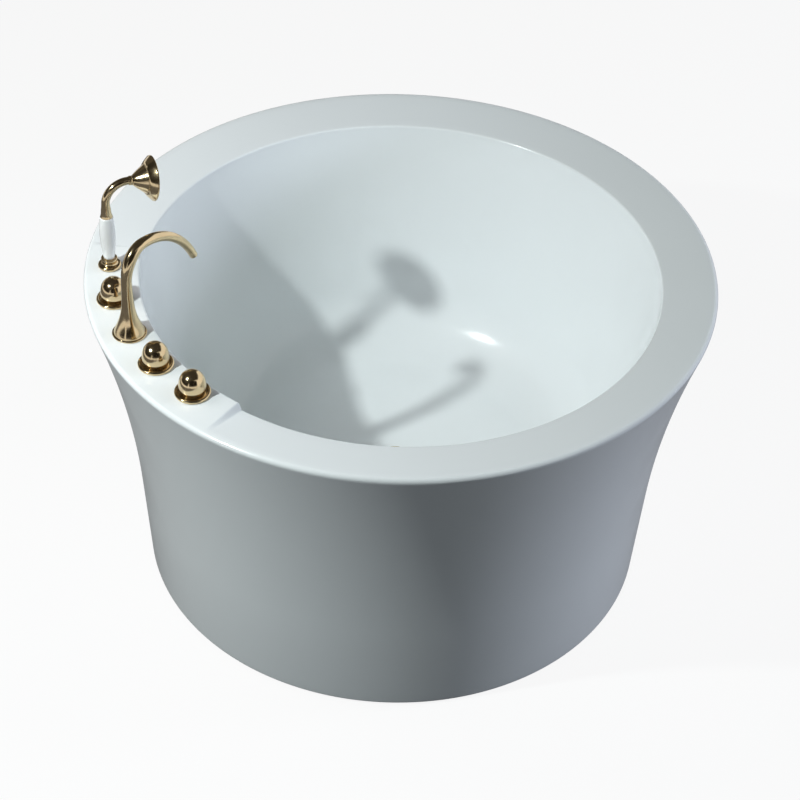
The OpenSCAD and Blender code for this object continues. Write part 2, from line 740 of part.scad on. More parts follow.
// Radius along the arch: up to the thickest place, then down to the tip
function arch_radius(t) = t < arch_thick
    ? spout_neck_r + (spout_arch_r - spout_neck_r) * (1 - cos(180 * t / arch_thick)) / 2
    : spout_arch_r - (spout_arch_r - spout_tip_r) * pow((t - arch_thick) / (1 - arch_thick), 1.1);
// The arch is a quarter of one ellipse up to its top, and part of a larger one down to its outlet
crown_rise = spout_top - spout_spring;
fall_in = (spout_reach - spout_top_in) / sin(spout_fall_a);
fall_drop = (spout_top - spout_out_h) / (1 - cos(spout_fall_a));
// Middle of the arch at its angle a, and its direction there
function arch_mid(a) = a < 90
    ? [spout_top_in * (1 - cos(a)), 0, spout_spring + crown_rise * sin(a)]
    : [spout_top_in + fall_in * sin(a - 90), 0, spout_top - fall_drop * (1 - cos(a - 90))];
function arch_dir(a) = let(d = a < 90
    ? [spout_top_in * sin(a), 0, crown_rise * cos(a)]
    : [fall_in * cos(a - 90), 0, -fall_drop * sin(a - 90)]) d / norm(d);
function ring_points(mid, dir, r) = [for (j = [0 : spout_sides - 1])
    mid + r * (cos(360 * j / spout_sides) * [dir[2], 0, -dir[0]] + sin(360 * j / spout_sides) * [0, 1, 0])];
foot_levels = [for (i = [0 : foot_rings]) foot_t + (spout_spring - foot_t) * pow(i / foot_rings, 1.35)];
arch_end = 90 + spout_fall_a;
function arch_a(i) = i < crown_rings ? 90 * i / crown_rings : 90 + spout_fall_a * (i - crown_rings) / fall_rings;
arch_angles = [for (i = [1 : arch_rings]) arch_a(i)];
tip_mid = arch_mid(arch_end);
tip_dir = arch_dir(arch_end);
bore_angles = [for (i = [arch_rings - 2 : -1 : 0]) arch_a(i)];
// Rings of points up the outside, in at the outlet and back down the bore
spout_rows = concat(
    [for (h = foot_levels) ring_points([0, 0, h], [0, 0, 1], h > foot_t ? foot_radius(h - foot_t) : spout_foot_r)],
    [for (a = arch_angles) ring_points(arch_mid(a), arch_dir(a), arch_radius(a / arch_end))],
    [ring_points(tip_mid, tip_dir, tip_bore_r), ring_points(tip_mid - tip_bore * tip_dir, tip_dir, tip_bore_r)],
    [for (a = bore_angles) ring_points(arch_mid(a), arch_dir(a), spout_bore_r)],
    [ring_points([0, 0, foot_t], [0, 0, 1], spout_bore_r)]);
row_count = len(spout_rows);
function flat_list(rows) = [for (row = rows) each row];
function band_faces(i) = [for (j = [0 : spout_sides - 1])
    let(m = (i + 1) % row_count, n = (j + 1) % spout_sides)
    each [[i * spout_sides + j, m * spout_sides + j, i * spout_sides + n],
        [i * spout_sides + n, m * spout_sides + j, m * spout_sides + n]]];

module spout_sweep() {
    polyhedron(points = flat_list(spout_rows), faces = flat_list([for (i = [0 : row_count - 1]) band_faces(i)]));
}
module at_spout() {
    at_station(spout_at) rotate([0, 0, spout_turn]) children();
}
module spout() {
    color(polished_gold) at_spout() spout_sweep();
}
module spout_ring() {
    color(polished_gold) at_station(spout_at) difference() {
        rotate_extrude() union() {
            translate([spout_ring_r - foot_t / 2, foot_t / 2]) circle(r = foot_t / 2);
            translate([shank_r + shank_fit, 0])
                square([spout_ring_r - foot_t / 2 - shank_r - shank_fit, foot_t]);
        }
        seal_groove();
    }
}
module spout_outlet() {
    color(pale_plastic) at_spout() translate(tip_mid)
        rotate([0, 180 - atan2(tip_dir[0], -tip_dir[2]), 0]) translate([0, 0, seat_gap - tip_bore]) difference() {
            cylinder(h = tip_bore - 2, r = tip_bore_r - seat_gap);
            for (a = [0 : 60 : 300]) rotate([0, 0, a]) translate([tip_bore_r / 2, 0, outlet_floor])
                cylinder(h = tip_bore, r = outlet_jet_r);
            translate([0, 0, outlet_floor]) cylinder(h = tip_bore, r = outlet_jet_r);
        }
}
module spout_shank() {
    tee_low = -upper_port - tee_r;
    color(raw_brass) difference() {
        union() {
            at_station(spout_at) {
                translate([0, 0, valve_top]) cylinder(h = foot_t - valve_top, r = shank_r);
                translate([0, 0, tee_low]) cylinder(h = valve_top - tee_low, r = tee_r);
            }
            port_run(spout_at, 1, 0, tee_port_end, upper_port, port_r);
        }
        at_station(spout_at) translate([0, 0, tee_low + 5]) cylinder(h = foot_t - tee_low, r = water_r);
        port_run(spout_at, 1, 0, tee_port_end, upper_port, water_r);
        port_run(spout_at, 1, tee_port_floor, tee_port_end + row_over, upper_port, link_r + run_gap);
    }
}

// Handset, drawn over its own foot and pointing along +X
hose_bore_r = shank_r - 1.9;
holder_edge = 4;
holder_base_h = 8;
holder_shank_low = valve_top - 11;
cup_r = 15;
cup_lip_r = 2;
cup_in_r = 12;
cup_depth = 5;
connector_r = hose_bore_r - seat_gap;
connector_low = 4;
handle_low = holder_h + 2 * seat_gap;
handle_top = handle_low + handle_len;
handle_foot_r = 10.6;
handle_head_r = 12.8;
handle_steps = 18;
hand_tube_r = 6.2;
hand_tube_in = 4.6;
ferrule_r = 11.6;
ferrule_h = 14;
ferrule_socket = 10;
tube_rise = 8;
bend_h = handle_top + 2 * ferrule_h;
bend_a = 90 + head_tilt;
neck_tail = 5;
bend_start_r = neck_r + 1.5;
joint_step = 0.2;

function handle_radius(t) = t < 0.6
    ? handle_foot_r + (handle_r - handle_foot_r) * sin(90 * t / 0.6)
    : handle_head_r + (handle_r - handle_head_r) * cos(90 * (t - 0.6) / 0.4);

ferrule_line = [for (i = [0 : 8]) [bend_start_r + (ferrule_r - bend_start_r) * pow(1 - i / 8, 2.2),
    handle_top + 1 + ferrule_h * i / 8]];

module ring_section(r_out, r_in) {
    difference() {
        circle(r = r_out);
        circle(r = r_in);
    }
}
module at_handset() {
    at_station(handset_at) rotate([0, 0, handset_turn]) children();
}
// Places a piece at the end of the bent neck, with +Z along the head's axis
module at_head() {
    at_handset() translate([neck_bend_r, 0, bend_h]) rotate([0, bend_a, 0]) translate([-neck_bend_r, 0, neck_tail])
        children();
}
module shower_holder() {
    color(polished_gold) at_station(handset_at) difference() {
        union() {
            rotate_extrude() union() {
                translate([holder_r - holder_edge, holder_edge]) circle(r = holder_edge);
                translate([hose_bore_r, 0]) square([holder_r - holder_edge - hose_bore_r, holder_base_h]);
                translate([holder_r - holder_edge, 0]) square([0.6 * holder_edge, holder_edge]);
            }
            translate([0, 0, holder_base_h]) cylinder(h = 4, r1 = holder_r - holder_edge, r2 = cup_r - 1);
            translate([0, 0, holder_base_h]) cylinder(h = holder_h - holder_base_h - cup_lip_r, r = cup_r - 1);
            rotate_extrude() translate([cup_r - 1.5, holder_h - cup_lip_r]) circle(r = cup_lip_r);
            translate([0, 0, holder_shank_low]) cylinder(h = over - holder_shank_low, r = shank_r);
        }
        translate([0, 0, holder_shank_low - over])
            cylinder(h = holder_h - holder_shank_low + 2 * over, r = hose_bore_r);
        translate([0, 0, holder_h - cup_depth]) cylinder(h = 2 * cup_depth, r = cup_in_r);
        seal_groove();
    }
}
module handset_connector() {
    color(raw_brass) at_station(handset_at) difference() {
        union() {
            translate([0, 0, connector_low]) cylinder(h = holder_h + seat_gap - connector_low, r = connector_r);
            translate([0, 0, holder_h - cup_depth + seat_gap]) cylinder(h = cup_depth, r = cup_in_r - seat_gap);
        }
        translate([0, 0, connector_low - over]) cylinder(h = holder_h + 2 * over, r = hand_tube_r + run_gap);
    }
}
module handset_handle() {
    color(ceramic_white) at_station(handset_at) difference() {
        rotate_extrude() polygon(concat([[0, handle_low]],
            [for (i = [0 : handle_steps]) [handle_radius(i / handle_steps), handle_low + handle_len * i / handle_steps]],
            [[0, handle_top]]));
        translate([0, 0, handle_low - over]) cylinder(h = handle_len + 2 * over, r = hand_tube_r + run_gap);
    }
}
module handset_tube() {
    color(raw_brass) at_station(handset_at) translate([0, 0, connector_low + 2])
        tube(handle_top + tube_rise - connector_low - 2, hand_tube_r, hand_tube_in);
}
module handset_neck() {
    color(polished_gold) at_handset() {
        difference() {
            rotate_extrude() polygon(concat([[0, handle_top], [ferrule_r - 0.6, handle_top]], ferrule_line,
                [[neck_r - joint_step, bend_h], [0, bend_h]]));
            translate([0, 0, handle_top - over]) cylinder(h = ferrule_socket + over, r = hand_tube_r + run_gap);
            translate([0, 0, handle_top]) cylinder(h = bend_h - handle_top + over, r = hand_tube_in + joint_step);
        }
        translate([neck_bend_r, 0, bend_h]) rotate([90, 0, 0]) rotate([0, 0, 180 - bend_a])
            rotate_extrude(angle = bend_a) translate([neck_bend_r, 0]) ring_section(neck_r, hand_tube_in);
        translate([neck_bend_r, 0, bend_h]) rotate([0, bend_a, 0]) translate([-neck_bend_r, 0, 0])
            tube(neck_tail, neck_r + 1, hand_tube_in + joint_step);
    }
}
// Bell of the shower head: a slender cone, a small step, and the wide mouth
head_lip = 4;
plate_depth = 2.5;
spray_plate_t = 3;
spray_plate_r = head_r - head_lip - run_gap;
first_r = 0.63 * head_r;
first_s = 0.6 * head_len;
head_first = [for (i = [0 : 8]) [neck_r + 2 + (first_r - neck_r - 2) * pow(i / 8, 0.9), 2 + (first_s - 2) * i / 8]];
head_second = [for (i = [0 : 8]) [first_r + 1 + (head_r - first_r - 1) * pow(i / 8, 0.75),
    first_s + 1 + (head_len - first_s - 4) * i / 8]];
jet_rings = [[10, 6], [20, 12], [30, 18]];
nozzle_proud = 1.2;

module shower_head() {
    chamber_s = head_len - plate_depth - spray_plate_t;
    color(polished_gold) at_head() difference() {
        rotate_extrude() polygon(concat([[0, 0], [neck_r + 1, 0]], head_first, head_second,
            [[head_r, head_len - 1], [head_r - 1, head_len], [0, head_len]]));
        translate([0, 0, chamber_s]) cylinder(h = head_len, r = head_r - head_lip);
        translate([0, 0, -over]) cylinder(h = head_len, r = hand_tube_in);
        translate([0, 0, first_s - 4]) cylinder(h = head_len, r = first_r - 8);
    }
}
module spray_plate() {
    color(polished_gold) at_head() translate([0, 0, head_len - plate_depth - spray_plate_t]) difference() {
        cylinder(h = spray_plate_t, r = spray_plate_r);
        translate([0, 0, -over]) for (ring = jet_rings, i = [0 : ring[1] - 1])
            rotate([0, 0, 360 * i / ring[1]]) translate([ring[0], 0, 0])
                cylinder(h = spray_plate_t + 2 * over, r = jet_r, $fn = 16);
    }
}
module spray_nozzles() {
    color(black_rubber) at_head() translate([0, 0, head_len - plate_depth - spray_plate_t])
        for (ring = jet_rings, i = [0 : ring[1] - 1])
            rotate([0, 0, 360 * i / ring[1]]) translate([ring[0], 0, 0])
                cylinder(h = spray_plate_t + nozzle_proud, r = jet_r - run_gap, $fn = 16);
}

basin_shell();
skirt_shell();
floor_board();
deck_board();
support_frame();
frame_screws();
skirt_blocks();
foot_nuts();
foot_stud(0);  // foot_stud_1
foot_stud(1);  // foot_stud_2
foot_stud(2);  // foot_stud_3
foot_stud(3);  // foot_stud_4
foot_pad(0);  // foot_pad_1
foot_pad(1);  // foot_pad_2
foot_pad(2);  // foot_pad_3
foot_pad(3);  // foot_pad_4
waste_flange();
waste_gasket();
waste_nut();
waste_plug();
plug_seal();
plug_stem();
plug_cartridge();
trap_nut();
trap_body();
trap_cup();
hot_knob();
hot_screw();
hot_spindle();
hot_cartridge();
hot_valve();
hot_ring();
cold_knob();
cold_screw();
cold_spindle();
cold_cartridge();
cold_valve();
cold_ring();
diverter_knob();
diverter_screw();
diverter_spindle();
diverter_cartridge();
diverter_valve();
diverter_ring();
spout();
spout_ring();
spout_outlet();
spout_shank();
deck_seals();
deck_washers();
deck_nuts();
link_pipes();
shower_holder();
handset_connector();
handset_handle();
handset_tube();
handset_neck();
shower_head();
spray_plate();
spray_nozzles();
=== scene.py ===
"""Dresses the round soaking tub: smooth shell, polished gold taps and hand shower, and the stage.

Every piece is in metres in the frame of the solid model: the origin is on the floor under the
middle of the tub, +Z is up, and the tap ledge is on the -X side.
"""

import json
import math

import bmesh
import bpy
from bpy.props import FloatProperty, FloatVectorProperty, IntProperty, PointerProperty
from mathutils import Matrix, Vector


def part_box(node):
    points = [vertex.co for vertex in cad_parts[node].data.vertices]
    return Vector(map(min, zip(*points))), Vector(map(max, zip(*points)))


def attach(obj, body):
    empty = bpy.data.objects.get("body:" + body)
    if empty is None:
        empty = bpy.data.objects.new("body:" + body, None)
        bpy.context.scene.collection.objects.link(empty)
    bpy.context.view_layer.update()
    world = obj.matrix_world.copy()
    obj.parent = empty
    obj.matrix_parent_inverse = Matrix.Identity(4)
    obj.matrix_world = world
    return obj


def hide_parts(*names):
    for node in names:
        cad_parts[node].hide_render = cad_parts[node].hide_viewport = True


bl_info = {
    "name": "Round soaking tub",
    "version": (1, 0, 0),
    "blender": (4, 5, 0),
    "location": "View3D > Sidebar > Tub",
    "description": "Builds the shell, taps, hand shower and stage of a round soaking tub",
    "category": "Object",
}

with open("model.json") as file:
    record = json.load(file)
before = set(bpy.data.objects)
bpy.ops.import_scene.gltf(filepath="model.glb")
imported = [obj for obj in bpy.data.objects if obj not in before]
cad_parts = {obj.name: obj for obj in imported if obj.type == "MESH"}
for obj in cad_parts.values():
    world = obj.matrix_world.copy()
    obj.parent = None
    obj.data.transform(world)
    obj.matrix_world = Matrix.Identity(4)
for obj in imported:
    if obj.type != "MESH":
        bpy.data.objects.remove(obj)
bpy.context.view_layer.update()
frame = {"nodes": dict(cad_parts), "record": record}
SOLIDS = frame["nodes"]

HOT, COLD, SPOUT, DIVERTER, HANDSET = -2, -1, 0, 1, 2
CONTROLS = {"hot": HOT, "cold": COLD, "diverter": DIVERTER}
UP = Vector((0, 0, 1))
MERGE_DISTANCE = 1e-6
LIP_START = 0.0004  # height of the lip's first point above the end of the wall
WALL_BACK = 0.002  # how far the back of the wall stops below the front of it
# Grey of the floor for the light it bounces, and the glow of the floor card: a painted dark
# reflection of the floor in the shiny parts.
FLOOR_BOUNCE = (0.16, 0.16, 0.165)
WHITE, BLACK = (1, 1, 1, 1), (0, 0, 0, 1)


def length(name, default, description):
    """A size property in metres."""
    return FloatProperty(
        name=name, description=description, default=default, min=0.0, precision=4, unit="LENGTH"
    )


def angle(name, degrees, description):
    """An angle property, given in degrees."""
    return FloatProperty(
        name=name, description=description, default=math.radians(degrees), subtype="ANGLE"
    )


def colour(name, default, description):
    """A colour property."""
    return FloatVectorProperty(
        name=name,
        description=description,
        default=default,
        size=3,
        min=0.0,
        max=1.0,
        subtype="COLOR",
    )


class TubSizes(bpy.types.PropertyGroup):
    """Sizes of the basin and its skirt"""

    rim_radius: length("Rim radius", 0.5999, "Outer radius of the rim")
    height: length("Height", 0.680, "Height of the rim's outer edge")
    opening_radius: length("Opening radius", 0.495, "Radius at the rim's inner edge")
    rim_fall: length("Rim fall", 0.014, "Drop of the rim towards the water")
    edge_radius: length("Edge radius", 0.008, "Rounding of the rim's outer edge")
    inner_edge_radius: length("Inner edge radius", 0.005, "Rounding of the rim's inner edge")
    base_radius: length("Base radius", 0.500, "Radius of the skirt at the floor")
    flare_radius: length("Flare radius", 0.514, "Radius of the skirt where its flare begins")
    flare_height: length("Flare height", 0.210, "Height where the skirt's flare begins")
    shell: length("Shell", 0.007, "Thickness of the basin")
    skirt_wall: length("Skirt wall", 0.005, "Thickness of the skirt")
    skirt_gap: length("Skirt gap", 0.005, "Gap between the skirt and the floor")
    skirt_lip: length("Skirt lip", 0.028, "Width of the skirt's inturned lip")
    floor_height: length("Floor height", 0.190, "Height of the basin's floor at the waste")
    floor_rise: length("Floor rise", 0.005, "Rise of the floor from the waste to its edge")
    wall_lean: angle("Wall lean", 13.0, "Lean of the basin's wall from upright")
    floor_fillet: length("Floor fillet", 0.140, "Radius between wall and floor")
    waste_radius: length("Waste radius", 0.0353, "Radius of the recess for the waste")
    waste_hole_radius: length("Waste hole radius", 0.024, "Radius of the hole for the waste")
    ledge_span: angle("Ledge span", 60.0, "Angle of the level ledge under the taps")
    waste_recess: length("Waste recess", 0.005, "Depth of the recess for the waste's flange")
    bead_width: length("Bead width", 0.014, "Width of the bead that is bonded to the skirt")
    under_extra: length("Extra thickness", 0.001, "Extra thickness under the floor and the rim")
    foot_edge: length("Foot edge", 0.004, "Rounding of the skirt's foot")
    ledge_soft: angle("Ledge blend", 0.55, "Half width of the ledge's blended ends")
    tap_hole_radius: length("Tap hole radius", 0.013, "Radius of each tap hole")


class TapSizes(bpy.types.PropertyGroup):
    """Sizes of the knobs, their rings and the spout"""

    row_radius: length("Row radius", 0.542, "Radius of the row of taps")
    row_shift: length("Row shift", 0.026, "Shift of the row's centre along the ledge")
    row_pitch: angle("Row pitch", 11.0, "Angle between neighbouring taps")
    row_turn: angle("Row turn", 1.6, "Turn of the spout's place in the row")
    knob_radius: length("Knob radius", 0.0248, "Radius of a knob at its widest")
    knob_low: length("Knob foot", 0.004, "Height of a knob's lower face above the ledge")
    knob_top: length("Knob top", 0.050, "Height of a knob's top above the ledge")
    knob_recess: length("Knob recess", 0.016, "Radius of the recess under a knob")
    knob_recess_top: length("Knob recess top", 0.013, "Height of the recess's top above the ledge")
    screw_hole: length("Screw hole", 0.0021, "Radius of the grub screw's hole in a knob")
    ring_radius: length("Ring radius", 0.033, "Outer radius of a knob's ring")
    ring_edge: length("Ring edge", 0.0035, "Radius of the ring's rounded edge")
    shank_hole: length("Shank hole", 0.0128, "Radius of the hole in a ring")
    spout_ring_radius: length("Spout ring radius", 0.032, "Radius of the ring under the spout")
    spout_ring_height: length("Spout ring height", 0.004, "Height of the ring under the spout")
    spout_foot: length("Spout foot", 0.029, "Radius of the spout's foot")
    spout_neck: length("Spout neck", 0.0098, "Radius of the spout's neck")
    spout_arch: length("Spout arch", 0.0115, "Radius of the spout where its arch is thickest")
    spout_tip: length("Spout tip", 0.0079, "Radius of the spout at its outlet")
    spout_turn: angle("Spout turn", 25.0, "Turn of the spout from straight across the tub")
    spout_reach: length("Spout reach", 0.170, "Reach of the spout")
    spout_spring: length("Spout spring", 0.115, "Height where the arch begins")
    spout_top: length("Spout top", 0.179, "Height of the arch's top")
    spout_top_in: length("Spout top inset", 0.045, "Distance from the foot to the arch's top")
    spout_outlet: length("Spout outlet", 0.083, "Height of the spout's outlet")
    spout_fall: angle("Spout fall", 59.0, "Turn of the arch's falling side")


class HandsetSizes(bpy.types.PropertyGroup):
    """Sizes of the hand shower and its holder"""

    turn: angle("Turn", -2.0, "Turn of the handset from straight across the tub")
    holder_radius: length("Holder radius", 0.022, "Outer radius of the holder")
    holder_height: length("Holder height", 0.021, "Height of the holder's cup")
    holder_edge: length("Holder edge", 0.004, "Rounding of the holder's foot")
    cup_depth: length("Cup depth", 0.005, "Depth of the cup that the handset stands in")
    hose_hole: length("Hose hole", 0.0106, "Radius of the hole for the hose")
    handle_low: length("Handle foot", 0.0216, "Height of the handle's lower end above the ledge")
    handle_length: length("Handle length", 0.093, "Length of the ceramic handle")
    handle_radius: length("Handle radius", 0.015, "Radius of the handle at its widest")
    handle_foot: length("Handle foot radius", 0.0106, "Radius of the handle's lower end")
    handle_head: length("Handle top radius", 0.0128, "Radius of the handle's upper end")
    handle_bore: length("Handle bore", 0.0063, "Radius of the hole through the handle")
    ferrule_radius: length("Ferrule radius", 0.0116, "Radius of the neck's flared foot")
    neck_bore: length("Neck bore", 0.0045, "Radius of the water way in the neck")
    neck_radius: length("Neck radius", 0.008, "Radius of the bent neck")
    neck_bend: length("Neck bend", 0.042, "Radius of the neck's bend")
    neck_rise: length("Neck rise", 0.028, "Height of the bend above the handle")
    neck_tail: length("Neck tail", 0.005, "Straight end of the neck")
    collar_radius: length("Collar radius", 0.0089, "Radius of the collar before the head")
    head_radius: length("Head radius", 0.043, "Radius of the shower head")
    head_length: length("Head length", 0.041, "Length of the shower head")
    head_bore: length("Head bore", 0.0048, "Radius of the water way into the head")
    head_tilt: angle("Head tilt", 7.0, "Tilt of the head below level")


class Finishes(bpy.types.PropertyGroup):
    """Colours of the finishes"""

    acrylic: colour("Acrylic", (0.86, 0.895, 0.905), "Glossy white of the shell")
    gold: colour("Gold", (0.70, 0.55, 0.335), "Polished gold of the taps")
    ceramic: colour("Ceramic", (0.92, 0.93, 0.93), "White of the ceramic handle")
    brass: colour("Brass", (0.66, 0.50, 0.24), "Bare brass under the ledge")
    zinc: colour("Zinc", (0.55, 0.56, 0.57), "Zinc-plated steel")
    paint: colour("Paint", (0.36, 0.38, 0.40), "Paint of the frame")
    wood: colour("Board", (0.50, 0.35, 0.20), "Birch plywood")
    rubber: colour("Rubber", (0.025, 0.025, 0.027), "Black rubber")
    plastic: colour("Plastic", (0.80, 0.80, 0.78), "White plastic of the trap")


class StageSettings(bpy.types.PropertyGroup):
    """Camera, lamps and floor"""

    camera_place: FloatVectorProperty(
        name="Camera place",
        description="Place of the camera",
        default=(-1.5092, -3.0671, 3.2821),
        size=3,
        subtype="TRANSLATION",
    )
    camera_pitch: angle("Camera pitch", 40.668, "How far the camera looks down")
    camera_heading: angle("Camera heading", 26.299, "Turn of the camera from +Y towards +X")
    camera_roll: angle("Camera roll", 2.107, "Roll of the camera about its own axis")
    camera_lens: FloatProperty(
        name="Lens", description="Focal length in millimetres", default=101.68
    )
    key_azimuth: angle("Key azimuth", 10.4, "Direction in which the key light travels")
    key_elevation: angle("Key elevation", 41.9, "Height of the key light")
    key_distance: length("Key distance", 2.46, "Distance of the key light from the taps")
    key_size: length("Key size", 0.12, "Diameter of the key light")
    key_power: FloatProperty(name="Key power", description="Power in watts", default=60.0, min=0.0)
    side_power: FloatProperty(
        name="Side power", description="Power of the cool light on the right", default=84.0, min=0.0
    )
    fill_power: FloatProperty(
        name="Fill power", description="Power of the soft light overhead", default=21.0, min=0.0
    )
    sky: FloatProperty(name="Sky", description="Strength of the even light", default=0.03, min=0.0)
    floor_radius: length("Floor radius", 14.0, "Radius of the floor")


class DetailSettings(bpy.types.PropertyGroup):
    """How finely round pieces are made"""

    shell_steps: IntProperty(
        name="Shell steps", description="Steps round the shell", default=288, min=96
    )
    tap_steps: IntProperty(name="Tap steps", description="Steps round a tap", default=72, min=24)


# Outlines and sweeps


def arc(centre, radius, start, end, steps):
    """Points of an arc in radius and height, from one angle to another in degrees."""
    return [
        (
            centre[0] + radius * math.cos(math.radians(start + (end - start) * i / steps)),
            centre[1] + radius * math.sin(math.radians(start + (end - start) * i / steps)),
        )
        for i in range(steps + 1)
    ]


def line(start, end, steps):
    """Points inside a straight line, without its two ends."""
    return [
        (start[0] + (end[0] - start[0]) * i / steps, start[1] + (end[1] - start[1]) * i / steps)
        for i in range(1, steps)
    ]


def curve(start, end, power, steps):
    """Points of a line whose radius grows by a power of its height, without its start."""
    return [
        (start[0] + (end[0] - start[0]) * t**power, start[1] + (end[1] - start[1]) * t)
        for t in (i / steps for i in range(1, steps + 1))
    ]


def lathe(bm, outline, steps, place=None, closed=True):
    """Turns an outline of radii and heights about the upright axis, then moves it to its place."""
    points = [bm.verts.new((radius, 0, height)) for radius, height in outline]
    pairs = list(zip(points, points[1:]))
    if closed:
        pairs.append((points[-1], points[0]))
    edges = [bm.edges.new(pair) for pair in pairs]
    bmesh.ops.spin(
        bm,
        geom=points + edges,
        cent=(0, 0, 0),
        axis=UP,
        angle=2 * math.pi,
        steps=steps,
        use_merge=True,
    )
    fresh = [v for v in bm.verts if not v.tag]
    if place is not None:
        bmesh.ops.transform(bm, matrix=place, verts=fresh)
    for v in bm.verts:
        v.tag = True


def sweep(bm, stations, sides):
    """Carries a circle along stations of place, direction and radius, and closes both ends."""
    place, direction, radius = stations[0]
    matrix = facing(place, direction)
    made = bmesh.ops.create_circle(bm, cap_ends=False, segments=sides, radius=radius, matrix=matrix)
    ring = made["verts"]
    edges = list({e for v in ring for e in v.link_edges})
    bmesh.ops.contextual_create(bm, geom=edges)
    for place, direction, next_radius in stations[1:]:
        step = bmesh.ops.extrude_edge_only(bm, edges=edges)
        ring = [g for g in step["geom"] if isinstance(g, bmesh.types.BMVert)]
        edges = [g for g in step["geom"] if isinstance(g, bmesh.types.BMEdge)]
        following = facing(place, direction)
        growth = Matrix.Scale(next_radius / radius, 4)
        bmesh.ops.transform(bm, matrix=following @ growth @ matrix.inverted(), verts=ring)
        matrix, radius = following, next_radius
    bmesh.ops.contextual_create(bm, geom=edges)
    for v in bm.verts:
        v.tag = True


def facing(place, direction):
    """The matrix that puts +Z along a direction in the XZ plane of the piece, at its place."""
    along = direction.normalized()
    side = Vector((0, 1, 0))
    across = side.cross(along).normalized()
    return Matrix.Translation(place) @ Matrix((across, side, along)).transposed().to_4x4()


def cut(piece, cutters):
    """Takes the cutters out of a piece, and removes them."""
    bpy.context.view_layer.objects.active = piece
    for cutter in cutters:
        modifier = piece.modifiers.new("cut", "BOOLEAN")
        modifier.operation = "DIFFERENCE"
        modifier.solver = "EXACT"
        modifier.object = cutter
        bpy.ops.object.modifier_apply(modifier=modifier.name)
        bpy.data.objects.remove(cutter)


def new_object(name, bm):
    """Makes a linked object of a bmesh, and frees the bmesh."""
    mesh = bpy.data.meshes.new(name)
    bm.to_mesh(mesh)
    bm.free()
    made = bpy.data.objects.new(name, mesh)
    bpy.context.collection.objects.link(made)
    return made


def rod(radius, depth, place, sides=48):
    """A round rod that serves as a cutter."""
    bm = bmesh.new()
    bmesh.ops.create_cone(
        bm, cap_ends=True, segments=sides, radius1=radius, radius2=radius, depth=depth, matrix=place
    )
    return new_object("cutter", bm)


def make_piece(name, bm, body, slot, stands_for, sharp=35.0):
    """Finishes a mesh as a piece that rides on a body and stands for its solids."""
    bmesh.ops.remove_doubles(bm, verts=bm.verts, dist=MERGE_DISTANCE)
    bmesh.ops.recalc_face_normals(bm, faces=bm.faces)
    piece = new_object(name, bm)
    piece.data.materials.append(finish_for(slot))
    smooth(piece, sharp)
    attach(piece, body)
    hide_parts(*stands_for)
    return piece


def smooth(piece, sharp):
    """Shades a piece smooth, apart from edges sharper than an angle in degrees."""
    piece.data.shade_smooth()
    piece.data.set_sharp_from_angle(angle=math.radians(sharp))


def station(key):
    """The middle of a tap's place on the ledge."""
    taps, tub = bpy.context.scene.tub_taps, bpy.context.scene.tub_sizes
    turn = math.pi + taps.row_turn - key * taps.row_pitch
    return Vector(
        (
            taps.row_radius * math.cos(turn),
            taps.row_shift + taps.row_radius * math.sin(turn),
            tub.height,
        )
    )


# Finishes


def new_material(name):
    """A material with nodes, its node tree and its shader."""
    material = bpy.data.materials.new(name)
    material.use_nodes = True
    return material, material.node_tree, material.node_tree.nodes["Principled BSDF"]


def set_inputs(node, values):
    """Sets a node's inputs by name."""
    for name, value in values.items():
        node.inputs[name].default_value = value


def add_node(tree, kind, values):
    """Adds a shader node with some of its inputs set."""
    node = tree.nodes.new(kind)
    set_inputs(node, values)
    return node


